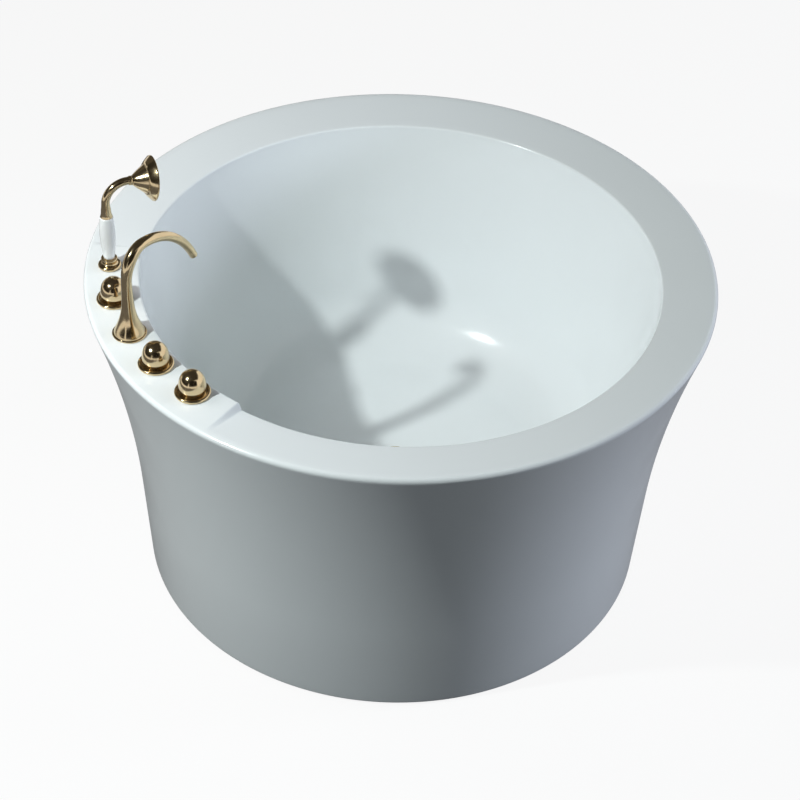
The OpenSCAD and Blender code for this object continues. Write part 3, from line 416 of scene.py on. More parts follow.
class Finish:
    """A material with its shader, and short ways to add to it."""

    def __init__(self, name, colour_value, roughness, metallic=0.0):
        self.material, self.tree, self.shader = new_material(name)
        base = (*colour_value, 1)
        set_inputs(self.shader, {"Base Color": base, "Roughness": roughness, "Metallic": metallic})
        self.coordinates = self.tree.nodes.new("ShaderNodeTexCoord").outputs["Object"]
        self.colour_value = colour_value

    def noise(self, scale, detail=3.0, stretch=(1, 1, 1)):
        """A noise in the piece's own space, stretched along its axes."""
        mapping = add_node(self.tree, "ShaderNodeMapping", {"Scale": stretch})
        self.tree.links.new(self.coordinates, mapping.inputs["Vector"])
        noise = add_node(self.tree, "ShaderNodeTexNoise", {"Scale": scale, "Detail": detail})
        self.tree.links.new(mapping.outputs["Vector"], noise.inputs["Vector"])
        return noise.outputs["Fac"]

    def layers(self, scale, axis, distortion):
        """Bands across an axis, such as the plies of a board."""
        values = {"Scale": scale, "Distortion": distortion}
        wave = add_node(self.tree, "ShaderNodeTexWave", values)
        wave.wave_type = "BANDS"
        wave.bands_direction = axis
        self.tree.links.new(self.coordinates, wave.inputs["Vector"])
        return wave.outputs["Fac"]

    def ramp(self, factor, low, high):
        """Values or colours between a low and a high one."""
        node = self.tree.nodes.new("ShaderNodeValToRGB")
        node.color_ramp.elements[0].position = 0.3
        node.color_ramp.elements[1].position = 0.7
        node.color_ramp.elements[0].color = (*low, 1)
        node.color_ramp.elements[1].color = (*high, 1)
        self.tree.links.new(factor, node.inputs["Fac"])
        return node.outputs["Color"]

    def tint(self, factor, low, high):
        """Varies the colour between two multiples of it."""
        shades = [tuple(min(1.0, c * k) for c in self.colour_value) for k in (low, high)]
        self.tree.links.new(self.ramp(factor, *shades), self.shader.inputs["Base Color"])

    def rough(self, factor, low, high):
        """Varies the roughness between two values."""
        self.tree.links.new(
            self.ramp(factor, (low,) * 3, (high,) * 3), self.shader.inputs["Roughness"]
        )

    def bump(self, factor, strength, depth):
        """Raises and lowers the surface by a depth in metres."""
        values = {"Strength": strength, "Distance": depth}
        node = add_node(self.tree, "ShaderNodeBump", values)
        self.tree.links.new(factor, node.inputs["Height"])
        self.tree.links.new(node.outputs["Normal"], self.shader.inputs["Normal"])

    def coat(self, weight, roughness):
        """Adds a clear coat."""
        set_inputs(self.shader, {"Coat Weight": weight, "Coat Roughness": roughness})


def glossy_acrylic(colours):
    """Sanitary acrylic: white with a hint of blue-green, glossy, with a faint ripple."""
    finish = Finish("glossy_acrylic", colours.acrylic, 0.2)
    finish.tint(finish.noise(2.2, 2.0), 0.985, 1.01)
    finish.rough(finish.noise(7.0, 4.0), 0.17, 0.24)
    finish.bump(finish.noise(26.0, 1.0), 0.12, 0.0006)
    finish.coat(0.15, 0.06)
    set_inputs(finish.shader, {"Specular IOR Level": 0.4})
    return finish.material


def polished_gold(colours):
    """Plated gold: mirror bright, with faint clouding."""
    finish = Finish("polished_gold", colours.gold, 0.1, metallic=1.0)
    finish.tint(finish.noise(30.0, 2.0), 0.93, 1.04)
    finish.rough(finish.noise(90.0, 3.0), 0.11, 0.18)
    finish.bump(finish.noise(55.0, 1.0), 0.05, 0.0004)
    return finish.material


def glazed_ceramic(colours):
    """White glaze over ceramic."""
    finish = Finish("glazed_ceramic", colours.ceramic, 0.12)
    finish.tint(finish.noise(40.0, 2.0), 0.97, 1.01)
    finish.rough(finish.noise(60.0, 2.0), 0.08, 0.16)
    finish.coat(0.6, 0.03)
    return finish.material


def turned_brass(colours):
    """Bare brass with fine turning marks and a little tarnish."""
    finish = Finish("turned_brass", colours.brass, 0.3, metallic=1.0)
    finish.tint(finish.noise(45.0, 5.0), 0.72, 1.08)
    finish.rough(finish.noise(160.0, 3.0), 0.22, 0.42)
    finish.bump(finish.noise(120.0, 2.0, (1, 1, 9)), 0.2, 0.0002)
    return finish.material


def zinc_plate(colours):
    """Zinc-plated steel with a mottled grain."""
    finish = Finish("zinc_plate", colours.zinc, 0.35, metallic=1.0)
    finish.tint(finish.noise(220.0, 6.0), 0.8, 1.12)
    finish.rough(finish.noise(150.0, 4.0), 0.26, 0.46)
    return finish.material


def frame_paint(colours):
    """Powder coat on the frame, with its fine orange peel."""
    finish = Finish("frame_paint", colours.paint, 0.5)
    finish.tint(finish.noise(9.0, 4.0), 0.88, 1.08)
    finish.rough(finish.noise(35.0, 3.0), 0.42, 0.58)
    finish.bump(finish.noise(650.0, 2.0), 0.35, 0.0002)
    return finish.material


def plywood(colours):
    """Birch plywood: long grain on its faces and plies on its edges."""
    finish = Finish("plywood", colours.wood, 0.6)
    grain = finish.noise(14.0, 7.0, (1.0, 9.0, 9.0))
    finish.tint(grain, 0.74, 1.22)
    finish.rough(finish.noise(50.0, 4.0), 0.5, 0.7)
    finish.bump(finish.layers(110.0, "Z", 0.6), 0.25, 0.0003)
    return finish.material


def black_rubber(colours):
    """Moulded rubber with a dull skin."""
    finish = Finish("black_rubber", colours.rubber, 0.7)
    finish.tint(finish.noise(60.0, 4.0), 0.75, 1.5)
    finish.rough(finish.noise(90.0, 3.0), 0.6, 0.8)
    finish.bump(finish.noise(700.0, 2.0), 0.3, 0.0002)
    return finish.material


def moulded_plastic(colours):
    """Moulded white plastic."""
    finish = Finish("moulded_plastic", colours.plastic, 0.38)
    finish.tint(finish.noise(12.0, 3.0), 0.95, 1.02)
    finish.rough(finish.noise(80.0, 3.0), 0.32, 0.45)
    finish.bump(finish.noise(420.0, 2.0), 0.12, 0.0001)
    return finish.material


FINISH_MAKERS = {
    "shell_white": glossy_acrylic,
    "gold_metal": polished_gold,
    "handle_ceramic": glazed_ceramic,
    "raw_brass": turned_brass,
    "zinc_steel": zinc_plate,
    "frame_steel": frame_paint,
    "board_wood": plywood,
    "pad_rubber": black_rubber,
    "trap_plastic": moulded_plastic,
}
SHARED_FINISHES = {"seal_rubber": "pad_rubber", "cartridge_plastic": "trap_plastic"}


def finish_for(slot):
    """The finish of a material slot, made once."""
    slot = SHARED_FINISHES.get(slot, slot)
    maker = FINISH_MAKERS[slot]
    return bpy.data.materials.get(maker.__name__) or maker(bpy.context.scene.tub_finishes)


# Pieces


def seam_height(tub):
    """Height of the bond between the rim and the skirt."""
    return tub.height - tub.edge_radius * 1.5


def skirt_radius(tub, height):
    """Radius of the skirt's outer face at a height: straight below the flare, then an arc."""
    low, high = tub.base_radius, tub.flare_radius
    if height < tub.flare_height:
        return low + (high - low) * height / tub.flare_height
    run = Vector((high - low, tub.flare_height)).normalized()
    a = high - (tub.rim_radius - tub.edge_radius)
    b = tub.height - tub.edge_radius - tub.flare_height
    rho = (a * a + b * b - tub.edge_radius**2) / (2 * (tub.edge_radius - b * run.x - a * run.y))
    middle = Vector((high + rho * run.y, tub.flare_height - rho * run.x))
    return middle.x - math.sqrt(rho**2 - (height - middle.y) ** 2)


def basin_outline(tub):
    """The basin's section, from the waste out over the rim and back underneath."""
    inner_top = tub.height - tub.rim_fall
    wall_top = inner_top - tub.inner_edge_radius
    floor_edge = tub.floor_height + tub.floor_rise
    lean = math.degrees(tub.wall_lean)
    wall_foot = tub.opening_radius - (wall_top - floor_edge) * math.tan(tub.wall_lean)
    flat = wall_foot - tub.floor_fillet * math.tan((math.pi / 2 - tub.wall_lean) / 2)
    fillet = (flat, floor_edge + tub.floor_fillet)
    edge = (tub.rim_radius - tub.edge_radius, tub.height - tub.edge_radius)
    inner_edge = (tub.opening_radius + tub.inner_edge_radius, wall_top)
    slope = math.degrees(math.atan(tub.rim_fall / (edge[0] - inner_edge[0])))
    seam = seam_height(tub)
    under = tub.floor_height - tub.shell - tub.under_extra
    bead = skirt_radius(tub, seam) - tub.bead_width
    floor = [(tub.waste_radius, tub.floor_height)]
    floor += line(floor[0], (flat, floor_edge), 10)
    wall_start = arc(fillet, tub.floor_fillet, -90, -lean, 30)
    wall_end = (tub.opening_radius, wall_top)
    wall = line(wall_start[-1], wall_end, 16) + [wall_end]
    lip = arc(inner_edge, tub.inner_edge_radius, 180, 90 + slope, 8)
    lip[0] = (tub.opening_radius, wall_top + LIP_START)
    top = line(lip[-1], (edge[0], tub.height), 8) + arc(edge, tub.edge_radius, 90, -2, 10)
    bottom = [(skirt_radius(tub, seam), seam), (bead, seam)]
    bottom.append((edge[0] - 0.006, tub.height - tub.shell - tub.under_extra))
    behind_wall = (tub.opening_radius + tub.shell, wall_top - WALL_BACK)
    back = line(bottom[-1], behind_wall, 4) + [behind_wall]
    back += arc(fillet, tub.floor_fillet + tub.shell, -lean, -85, 20)
    back += [(flat, under), (tub.waste_hole_radius, under)]
    recess = tub.floor_height - tub.waste_recess
    back += [(tub.waste_hole_radius, recess), (tub.waste_radius, recess)]
    return floor + wall_start + wall + lip + top + bottom + back


def raise_ledge(bm, tub):
    """Lifts the rim under the taps until it is level, with a blend at both ends."""
    inner = tub.opening_radius
    outer = tub.rim_radius - tub.edge_radius
    low = tub.height - tub.rim_fall - tub.inner_edge_radius
    inner_edge = inner + tub.inner_edge_radius
    close = 0.0001
    lowest = low - WALL_BACK - close
    wall_end = low + LIP_START / 2
    for v in bm.verts:
        radius = math.hypot(v.co.x, v.co.y)
        if v.co.z < lowest or radius > outer or radius < inner - close:
            continue
        if radius < inner + close / 10 and v.co.z < wall_end:
            continue
        turn = abs(math.atan2(v.co.y, -v.co.x))
        share = (tub.ledge_span / 2 + tub.ledge_soft - turn) / (2 * tub.ledge_soft)
        share = max(0.0, min(1.0, share))
        share = share * share * (3 - 2 * share)
        across = (outer - radius) / (outer - inner_edge)
        v.co.z += share * tub.rim_fall * min(1.0, max(0.0, across))


class TUB_OT_basin(bpy.types.Operator):
    """Makes the basin with its rim and the level ledge under the taps"""

    bl_idname = "tub.make_basin"
    bl_label = "Basin"

    def execute(self, context):
        scene = context.scene
        tub = scene.tub_sizes
        bm = bmesh.new()
        outline = basin_outline(tub)
        points = [bm.verts.new((-radius, 0, height)) for radius, height in outline]
        edges = [bm.edges.new(pair) for pair in zip(points, points[1:] + points[:1])]
        strip = points + edges
        blend = 6 * tub.ledge_soft
        half = tub.ledge_span / 2
        steps = scene.tub_detail.shell_steps
        ledge_steps, blend_steps, rim_steps = int(steps / 6), 24, int(steps * 0.82)
        arcs = [
            (half - blend / 2, ledge_steps),
            (blend, blend_steps),
            (2 * math.pi - 2 * half - blend, rim_steps),
            (blend, blend_steps),
            (half - blend / 2, ledge_steps),
        ]
        for span, count in arcs:
            made = bmesh.ops.spin(bm, geom=strip, cent=(0, 0, 0), axis=UP, angle=span, steps=count)
            strip = made["geom_last"]
        bmesh.ops.remove_doubles(bm, verts=bm.verts, dist=MERGE_DISTANCE)
        raise_ledge(bm, tub)
        piece = make_piece("basin", bm, "tub", "shell_white", ["basin_shell"], sharp=40)
        depth = 0.04
        holes = [
            rod(tub.tap_hole_radius, depth, Matrix.Translation(station(key)))
            for key in (HOT, COLD, SPOUT, DIVERTER, HANDSET)
        ]
        cut(piece, holes)
        smooth(piece, 40)
        return {"FINISHED"}


class TUB_OT_skirt(bpy.types.Operator):
    """Makes the flared skirt with its inturned foot"""

    bl_idname = "tub.make_skirt"
    bl_label = "Skirt"

    def execute(self, context):
        tub = context.scene.tub_sizes
        seam = seam_height(tub)
        low, corner, rows = tub.skirt_gap, tub.foot_edge, 60
        heights = [low + corner + (seam - low - corner) * i / rows for i in range(rows + 1)]
        outside = [(skirt_radius(tub, h), h) for h in heights]
        inside = [(r - tub.skirt_wall, h) for r, h in reversed(outside[1:])]
        foot = arc((outside[0][0] - corner, low + corner), corner, -90, 0, 6)[:-1]
        lip_end, lip_top = tub.base_radius - tub.skirt_lip, low + tub.skirt_wall
        lip = [(outside[0][0] - tub.skirt_wall, lip_top), (lip_end, lip_top)]
        outline = [(lip_end, low)] + foot + outside + inside + lip
        bm = bmesh.new()
        lathe(bm, outline, context.scene.tub_detail.shell_steps)
        make_piece("skirt", bm, "tub", "shell_white", ["skirt_shell"], sharp=40)
        return {"FINISHED"}


def egg_outline(taps):
    """The knob's section: widest low down, with a round top and a recess underneath."""
    height = taps.knob_top - taps.knob_low
    points = []
    steps, widest = 36, 0.3
    for i in range(steps + 1):
        t = 1 - (1 - i / steps) ** 1.9
        full = math.sqrt(1 - max(0.0, (t - widest) / 0.7) ** 2.3)
        if t < widest:
            full = 1 - 0.1 * ((widest - t) / widest) ** 2
        points.append((taps.knob_radius * full, taps.knob_low + height * t))
    points[-1] = (0, taps.knob_top)
    foot, edge = points[0][0], 0.0008
    rim = [(foot - edge, taps.knob_low), (foot - edge / 4, taps.knob_low + edge / 4)]
    recess = [(0, taps.knob_recess_top), (taps.knob_recess, taps.knob_recess_top)]
    return recess + [(taps.knob_recess, taps.knob_low)] + rim + points[1:]


class TUB_OT_knobs(bpy.types.Operator):
    """Makes the three egg-shaped knobs and their rings"""

    bl_idname = "tub.make_knobs"
    bl_label = "Knobs"

    def execute(self, context):
        scene = context.scene
        taps, steps = scene.tub_taps, scene.tub_detail.tap_steps
        hole_depth = 0.036
        for name, key in CONTROLS.items():
            place = Matrix.Translation(station(key))
            bm = bmesh.new()
            lathe(bm, egg_outline(taps), steps, place, closed=False)
            body = name + "_control"
            knob = make_piece(name + "_knob_gold", bm, body, "gold_metal", [name + "_knob"])
            screw_low, screw_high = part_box(name + "_screw")
            middle = (screw_low + screw_high) / 2
            hole = Matrix.Translation(middle) @ Matrix.Rotation(math.pi / 2, 4, "X")
            cut(knob, [rod(taps.screw_hole, hole_depth, hole, 24)])
            smooth(knob, 35)
            edge = (taps.ring_radius - taps.ring_edge, taps.ring_edge)
            bead = arc(edge, taps.ring_edge, 178, -25, 18)
            foot = [(taps.ring_radius - 0.0012, 0.0004), (taps.ring_radius - 0.0018, 0)]
            outline = [(taps.shank_hole, 0), (taps.shank_hole, taps.ring_edge)] + bead + foot
            bm = bmesh.new()
            lathe(bm, outline, steps, place)
            make_piece(name + "_ring_gold", bm, "tub", "gold_metal", [name + "_ring"])
        return {"FINISHED"}


def spout_stations(taps):
    """Stations of the spout from its foot over the arch to its outlet, and into the outlet."""
    foot_z = taps.spout_ring_height
    decay = 0.3 * (taps.spout_spring - foot_z)
    stations = []
    steps = 30
    for i in range(steps + 1):
        h = (taps.spout_spring - foot_z) * (i / steps) ** 1.35
        flare = math.exp(-((h / decay) ** 1.3))
        radius = taps.spout_neck + (taps.spout_foot - taps.spout_neck) * flare
        stations.append((Vector((0, 0, foot_z + h)), UP, radius))
    inset, thick = taps.spout_top_in, 0.3
    crown = taps.spout_top - taps.spout_spring
    fall_in = (taps.spout_reach - inset) / math.sin(taps.spout_fall)
    fall_drop = (taps.spout_top - taps.spout_outlet) / (1 - math.cos(taps.spout_fall))
    quarter = math.pi / 2
    rising, falling = 30, 40
    angles = [quarter * i / rising for i in range(1, rising + 1)]
    angles += [quarter + taps.spout_fall * i / falling for i in range(1, falling + 1)]
    for a in angles:
        t = a / angles[-1]
        if t < thick:
            rise = (1 - math.cos(math.pi * t / thick)) / 2
            radius = taps.spout_neck + (taps.spout_arch - taps.spout_neck) * rise
        else:
            share = (t - thick) / (1 - thick)
            radius = taps.spout_arch - (taps.spout_arch - taps.spout_tip) * share**1.1
        if a < quarter:
            risen = crown * math.sin(a)
            place = Vector((inset * (1 - math.cos(a)), 0, taps.spout_spring + risen))
            direction = Vector((inset * math.sin(a), 0, crown * math.cos(a)))
        else:
            b = a - quarter
            fallen = fall_drop * (1 - math.cos(b))
            place = Vector((inset + fall_in * math.sin(b), 0, taps.spout_top - fallen))
            direction = Vector((fall_in * math.cos(b), 0, -fall_drop * math.sin(b)))
        stations.append((place, direction, radius))
    place, direction, radius = stations[-1]
    onward = direction.normalized()
    rounding, wall, depth = 0.0003, 0.0013, 0.011
    stations.append((place + onward * rounding, direction, radius - 0.0004))
    stations.append((place + onward * rounding, direction, radius - 0.0012))
    stations.append((place, direction, radius - wall))
    stations.append((place - onward * depth, direction, radius - wall))
    return stations


class TUB_OT_spout(bpy.types.Operator):
    """Makes the swan-neck spout and its base ring"""

    bl_idname = "tub.make_spout"
    bl_label = "Spout"

    def execute(self, context):
        scene = context.scene
        taps, steps = scene.tub_taps, scene.tub_detail.tap_steps
        place = Matrix.Translation(station(SPOUT))
        bm = bmesh.new()
        sweep(bm, spout_stations(taps), steps)
        turned = place @ Matrix.Rotation(taps.spout_turn, 4, "Z")
        bmesh.ops.transform(bm, matrix=turned, verts=bm.verts)
        make_piece("spout_gold", bm, "tub", "gold_metal", ["spout"], sharp=50)
        half = taps.spout_ring_height / 2
        bead = arc((taps.spout_ring_radius - half, half), half, 90, -90, 14)
        outline = [(taps.shank_hole, 0), (taps.shank_hole, taps.spout_ring_height)] + bead
        bm = bmesh.new()
        lathe(bm, outline, steps, place)
        make_piece("spout_ring_gold", bm, "tub", "gold_metal", ["spout_ring"])
        return {"FINISHED"}


class TUB_OT_holder(bpy.types.Operator):
    """Makes the holder that the hand shower stands in"""

    bl_idname = "tub.make_holder"
    bl_label = "Holder"

    def execute(self, context):
        scene = context.scene
        hand, steps = scene.tub_handset, scene.tub_detail.tap_steps
        top, wide, edge = hand.holder_height, hand.holder_radius, hand.holder_edge
        hose, cup_floor = hand.hose_hole, top - hand.cup_depth
        base = arc((wide - edge, edge), edge, -60, 90, 14)
        neck = arc((wide - edge, 3 * edge), edge, 270, 180, 8)
        lip_radius, shank, shank_end, cup = 0.002, 0.0125, -0.045, 0.012
        lip = arc((0.0135, top - lip_radius), lip_radius, -30, 180, 12)
        outline = [(hose, shank_end), (shank, shank_end), (shank, 0), (wide - 0.0022, 0)]
        outline += base + neck + lip
        outline += [(cup, top - 0.0022), (cup, cup_floor), (hose, cup_floor)]
        bm = bmesh.new()
        lathe(bm, outline, steps, Matrix.Translation(station(HANDSET)))
        make_piece("holder_gold", bm, "tub", "gold_metal", ["shower_holder"])
        return {"FINISHED"}


def handle_outline(hand):
    """The ceramic handle's section: widest above its middle, with a bore for the water."""
    low, high = hand.handle_low, hand.handle_low + hand.handle_length
    foot, head, belly, rows = hand.handle_foot, hand.handle_head, 0.6, 40
    side = []
    for i in range(rows + 1):
        t = i / rows
        if t < belly:
            radius = foot + (hand.handle_radius - foot) * math.sin(math.pi / 2 * t / belly)
        else:
            down = math.pi / 2 * (t - belly) / (1 - belly)
            radius = head + (hand.handle_radius - head) * math.cos(down)
        side.append((radius, low + hand.handle_length * t))
    edge, close = 0.0008, 0.0001
    side[0] = (foot - edge, low)
    side.insert(1, (foot - close, low + edge - close))
    side[-1] = (head - edge, high)
    side.insert(-1, (head - close, high - edge + close))
    return [(hand.handle_bore, low)] + side + [(hand.handle_bore, high)]


def bend_height(hand):
    """Height above the ledge where the neck begins to bend."""
    return hand.handle_low + hand.handle_length + hand.neck_rise


def ferrule_outline(hand):
    """The section of the neck's flared foot and of its straight part."""
    high, bend = hand.handle_low + hand.handle_length, bend_height(hand)
    wide, slim, bore = hand.ferrule_radius, hand.neck_radius, hand.neck_bore
    gap, edge, shoulder = 0.0002, 0.0006, 0.0015
    flare_low, flare_length, rows = high + 0.001, 0.014, 16
    outline = [(hand.handle_bore, high + gap), (wide - edge, high + gap), (wide, high + 0.0009)]
    for i in range(1, rows + 1):
        t = i / rows
        flare = (wide - slim - shoulder) * (1 - t) ** 2.2
        outline.append((slim + shoulder + flare, flare_low + flare_length * t))
    outline += [(slim + 0.0005, high + 0.022), (slim, bend)]
    return outline + [(bore, bend), (bore, high + 0.0102), (hand.handle_bore, high + 0.01)]


def neck_stations(hand):
    """Stations of the neck from the start of its bend to the shower head."""
    foot, steps, overlap, taper = bend_height(hand), 40, 0.001, 0.07
    bend = math.pi / 2 + hand.head_tilt
    stations = [(Vector((0, 0, foot - overlap)), UP, hand.neck_radius)]
    for i in range(steps + 1):
        a = bend * i / steps
        across = hand.neck_bend * (1 - math.cos(a))
        place = Vector((across, 0, foot + hand.neck_bend * math.sin(a)))
        direction = Vector((math.sin(a), 0, math.cos(a)))
        stations.append((place, direction, hand.neck_radius * (1 - taper * i / steps)))
    place, direction, radius = stations[-1]
    stations.append((place + direction * hand.neck_tail, direction, radius))
    return stations


def collar_outline(hand):
    """The section of the collar on the neck's straight end."""
    bore, wide, tail = hand.neck_bore, hand.collar_radius, hand.neck_tail
    outline = [(bore, 0), (wide - 0.0005, 0), (wide, 0.0008)]
    return outline + [(wide, tail - 0.001), (wide - 0.0006, tail), (bore, tail)]


def head_outline(hand):
    """The shower head's section: a bell in two curves with a step, and the plate's seat."""
    wide, deep = hand.head_radius, hand.head_length
    step_radius, step_place = 0.63 * wide, 0.6 * deep
    chamber, chamber_end = step_radius - 0.008, step_place - 0.004
    seat_radius, seat, edge = wide - 0.004, deep - 0.0055, 0.0015
    outline = [(hand.head_bore, 0.0), (0.0086, 0.0), (0.0090, 0.0006), (0.0092, 0.002)]
    outline += curve(outline[-1], (step_radius - 0.0003, step_place), 0.9, 20)
    outline += [(step_radius + 0.0003, step_place + 0.0002)]
    outline += [(step_radius + 0.0008, step_place + 0.001)]
    outline += curve(outline[-1], (wide - 0.0006, deep - 2 * edge), 0.75, 20)
    outline += arc((wide - edge, deep - edge), edge, 20, 90, 6)
    outline += [(seat_radius, deep - 0.0002), (seat_radius, seat), (chamber, seat)]
    return outline + [(chamber, chamber_end), (hand.head_bore, chamber_end)]


class TUB_OT_handset(bpy.types.Operator):
    """Makes the hand shower: ceramic handle, bent neck and bell-shaped head"""

    bl_idname = "tub.make_handset"
    bl_label = "Hand shower"

    def execute(self, context):
        scene = context.scene
        hand, steps = scene.tub_handset, scene.tub_detail.tap_steps
        turn = Matrix.Translation(station(HANDSET)) @ Matrix.Rotation(hand.turn, 4, "Z")
        stations = neck_stations(hand)
        neck_end, head_place = (facing(*where[:2]) for where in stations[-2:])
        neck_steps, head_steps = 48, 96
        bm = bmesh.new()
        lathe(bm, handle_outline(hand), steps, turn)
        make_piece("handle_ceramic", bm, "handset", "handle_ceramic", ["handset_handle"])
        bm = bmesh.new()
        sweep(bm, stations, neck_steps)
        bmesh.ops.transform(bm, matrix=turn, verts=bm.verts)
        lathe(bm, ferrule_outline(hand), steps, turn)
        lathe(bm, collar_outline(hand), neck_steps, turn @ neck_end)
        make_piece("neck_gold", bm, "handset", "gold_metal", ["handset_neck"], sharp=45)
        bm = bmesh.new()
        lathe(bm, head_outline(hand), head_steps, turn @ head_place)
        make_piece("head_gold", bm, "handset", "gold_metal", ["shower_head"])
        return {"FINISHED"}


class TUB_OT_plug(bpy.types.Operator):
    """Makes the domed plug of the waste"""

    bl_idname = "tub.make_plug"
    bl_label = "Plug"

    def execute(self, context):
        low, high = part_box("waste_plug")
        radius, dome, edge, rows = (high.x - low.x) / 2, 0.120, 0.0009, 24
        reach = [radius * math.sin(i / rows * math.pi / 2) for i in range(rows + 1)]
        centre = high.z - dome
        top = [(r, centre + math.sqrt(dome**2 - r * r)) for r in reach if r < radius - edge]
        rim = [(radius - edge / 3, top[-1][1] - edge / 3), (radius, top[-1][1] - edge)]
        foot = [(radius, low.z + 0.0004), (radius - 0.0005, low.z), (0, low.z)]
        outline = top + rim + foot
        bm = bmesh.new()
        lathe(bm, outline, 96, closed=False)
        make_piece("plug_gold", bm, "plug", "gold_metal", ["waste_plug"])
        return {"FINISHED"}


class TUB_OT_finish_solids(bpy.types.Operator):
    """Gives every solid that is still shown the finish of its material slot"""

    bl_idname = "tub.finish_solids"
    bl_label = "Finish the other parts"

    def execute(self, context):
        slots = {row["node"]: row["material_slot"] for row in frame["record"]["subparts"]}
        for name, solid in SOLIDS.items():
            if solid.hide_render:
                continue
            finish = finish_for(slots[name])
            for material_slot in solid.material_slots:
                material_slot.material = finish
            if not solid.material_slots:
                solid.data.materials.append(finish)
        return {"FINISHED"}


# Stage


def set_floor(settings):
    """A pale floor: nearly white where it is seen, darker where its light reaches the tub."""
    bm = bmesh.new()
    bmesh.ops.create_circle(
        bm,
        cap_ends=True,
        segments=96,
        radius=settings.floor_radius,
        matrix=Matrix.Translation((0, 0, -0.0006)),
    )
    floor = new_object("floor", bm)
    material, tree, shader = new_material("studio_floor")
    set_inputs(shader, {"Roughness": 0.9, "Base Color": (*FLOOR_BOUNCE, 1)})
    pale = add_node(tree, "ShaderNodeBsdfDiffuse", {"Color": (0.85, 0.85, 0.85, 1)})
    glow = add_node(tree, "ShaderNodeEmission", {"Color": WHITE, "Strength": 1.0})
    seen = add_node(tree, "ShaderNodeMixShader", {"Fac": 0.9})
    tree.links.new(pale.outputs["BSDF"], seen.inputs[1])
    tree.links.new(glow.outputs["Emission"], seen.inputs[2])
    choose_by_ray(tree, shader.outputs["BSDF"], seen.outputs["Shader"], "OUTPUT_MATERIAL")
    floor.data.materials.append(material)


def seen_directly(tree):
    """One for rays that see a surface directly, in a reflection or through glass."""
    path = tree.nodes.new("ShaderNodeLightPath")
    total = path.outputs["Is Camera Ray"]
    for kind in ("Is Glossy Ray", "Is Transmission Ray"):
        add = tree.nodes.new("ShaderNodeMath")
        add.operation = "MAXIMUM"
        tree.links.new(total, add.inputs[0])
        tree.links.new(path.outputs[kind], add.inputs[1])
        total = add.outputs["Value"]
    return total


def choose_by_ray(tree, unseen, seen, output_type):
    """Shows one shader to rays that see it directly, and lights the rest with another."""
    choose = tree.nodes.new("ShaderNodeMixShader")
    tree.links.new(seen_directly(tree), choose.inputs["Fac"])
    tree.links.new(unseen, choose.inputs[1])
    tree.links.new(seen, choose.inputs[2])
    output = next(n for n in tree.nodes if n.type == output_type)
    tree.links.new(choose.outputs["Shader"], output.inputs["Surface"])


def set_world(settings):
    """Even light from all round, with a white background."""
    world = bpy.data.worlds.new("studio")
    bpy.context.scene.world = world
    world.use_nodes = True
    tree = world.node_tree
    background = tree.nodes["Background"]
    set_inputs(background, {"Color": (0.90, 0.955, 1.0, 1), "Strength": settings.sky})
    white = add_node(tree, "ShaderNodeBackground", {"Color": WHITE, "Strength": 1.0})
    choose_by_ray(
        tree, background.outputs["Background"], white.outputs["Background"], "OUTPUT_WORLD"
    )


def turned_to(place, target):
    """The turn that makes -Z look from a place to a target."""
    return (Vector(target) - Vector(place)).to_track_quat("-Z", "Y")


def add_lamp(name, place, target, size, power, tone):
    """A round area lamp that looks at a target."""
    light = bpy.data.lights.new(name, "AREA")
    light.shape = "DISK"
    light.size = size
    light.energy = power
    light.color = tone
    lamp = bpy.data.objects.new(name, light)
    lamp.location = place
    lamp.rotation_euler = turned_to(place, target).to_euler()
    bpy.context.collection.objects.link(lamp)
    return lamp


def add_card(name, place, target, size, shade):
    """A dim glowing card that only reflections see: a painted dark reflection in the shiny metal
    and the shell, as dark flags give round shiny metal in a studio.
    """
    bm = bmesh.new()
    turn = turned_to(place, target).to_matrix().to_4x4()
    matrix = Matrix.Translation(place) @ turn @ Matrix.Diagonal((*size, 1, 1))
    bmesh.ops.create_grid(bm, x_segments=1, y_segments=1, size=0.5, matrix=matrix)
    card = new_object(name, bm)
    # The card's dim glow is a painted dark reflection, seen in reflections only.
    material, _, shader = new_material(name + "_cloth")
    set_inputs(shader, {"Base Color": BLACK, "Specular IOR Level": 0.0})
    set_inputs(shader, {"Emission Color": (*shade, 1), "Emission Strength": 1.0})
    material.cycles.emission_sampling = "NONE"
    card.data.materials.append(material)
    card.visible_camera = False
    card.visible_diffuse = False
    card.visible_shadow = False
    card.visible_transmission = False


def set_camera(settings):
    """Puts the camera where its place, heading, pitch and roll say."""
    camera_data = bpy.data.cameras.new("camera")
    camera_data.sensor_width = 36.0
    camera_data.lens = settings.camera_lens
    camera_data.dof.use_dof = False
    camera = bpy.data.objects.new("camera", camera_data)
    camera.location = settings.camera_place
    turn = Matrix.Rotation(-settings.camera_heading, 3, "Z")
    pitch = Matrix.Rotation(math.pi / 2 - settings.camera_pitch, 3, "X")
    roll = Matrix.Rotation(settings.camera_roll, 3, "Z")
    camera.rotation_euler = (turn @ pitch @ roll).to_euler()
    bpy.context.collection.objects.link(camera)
    bpy.context.scene.camera = camera


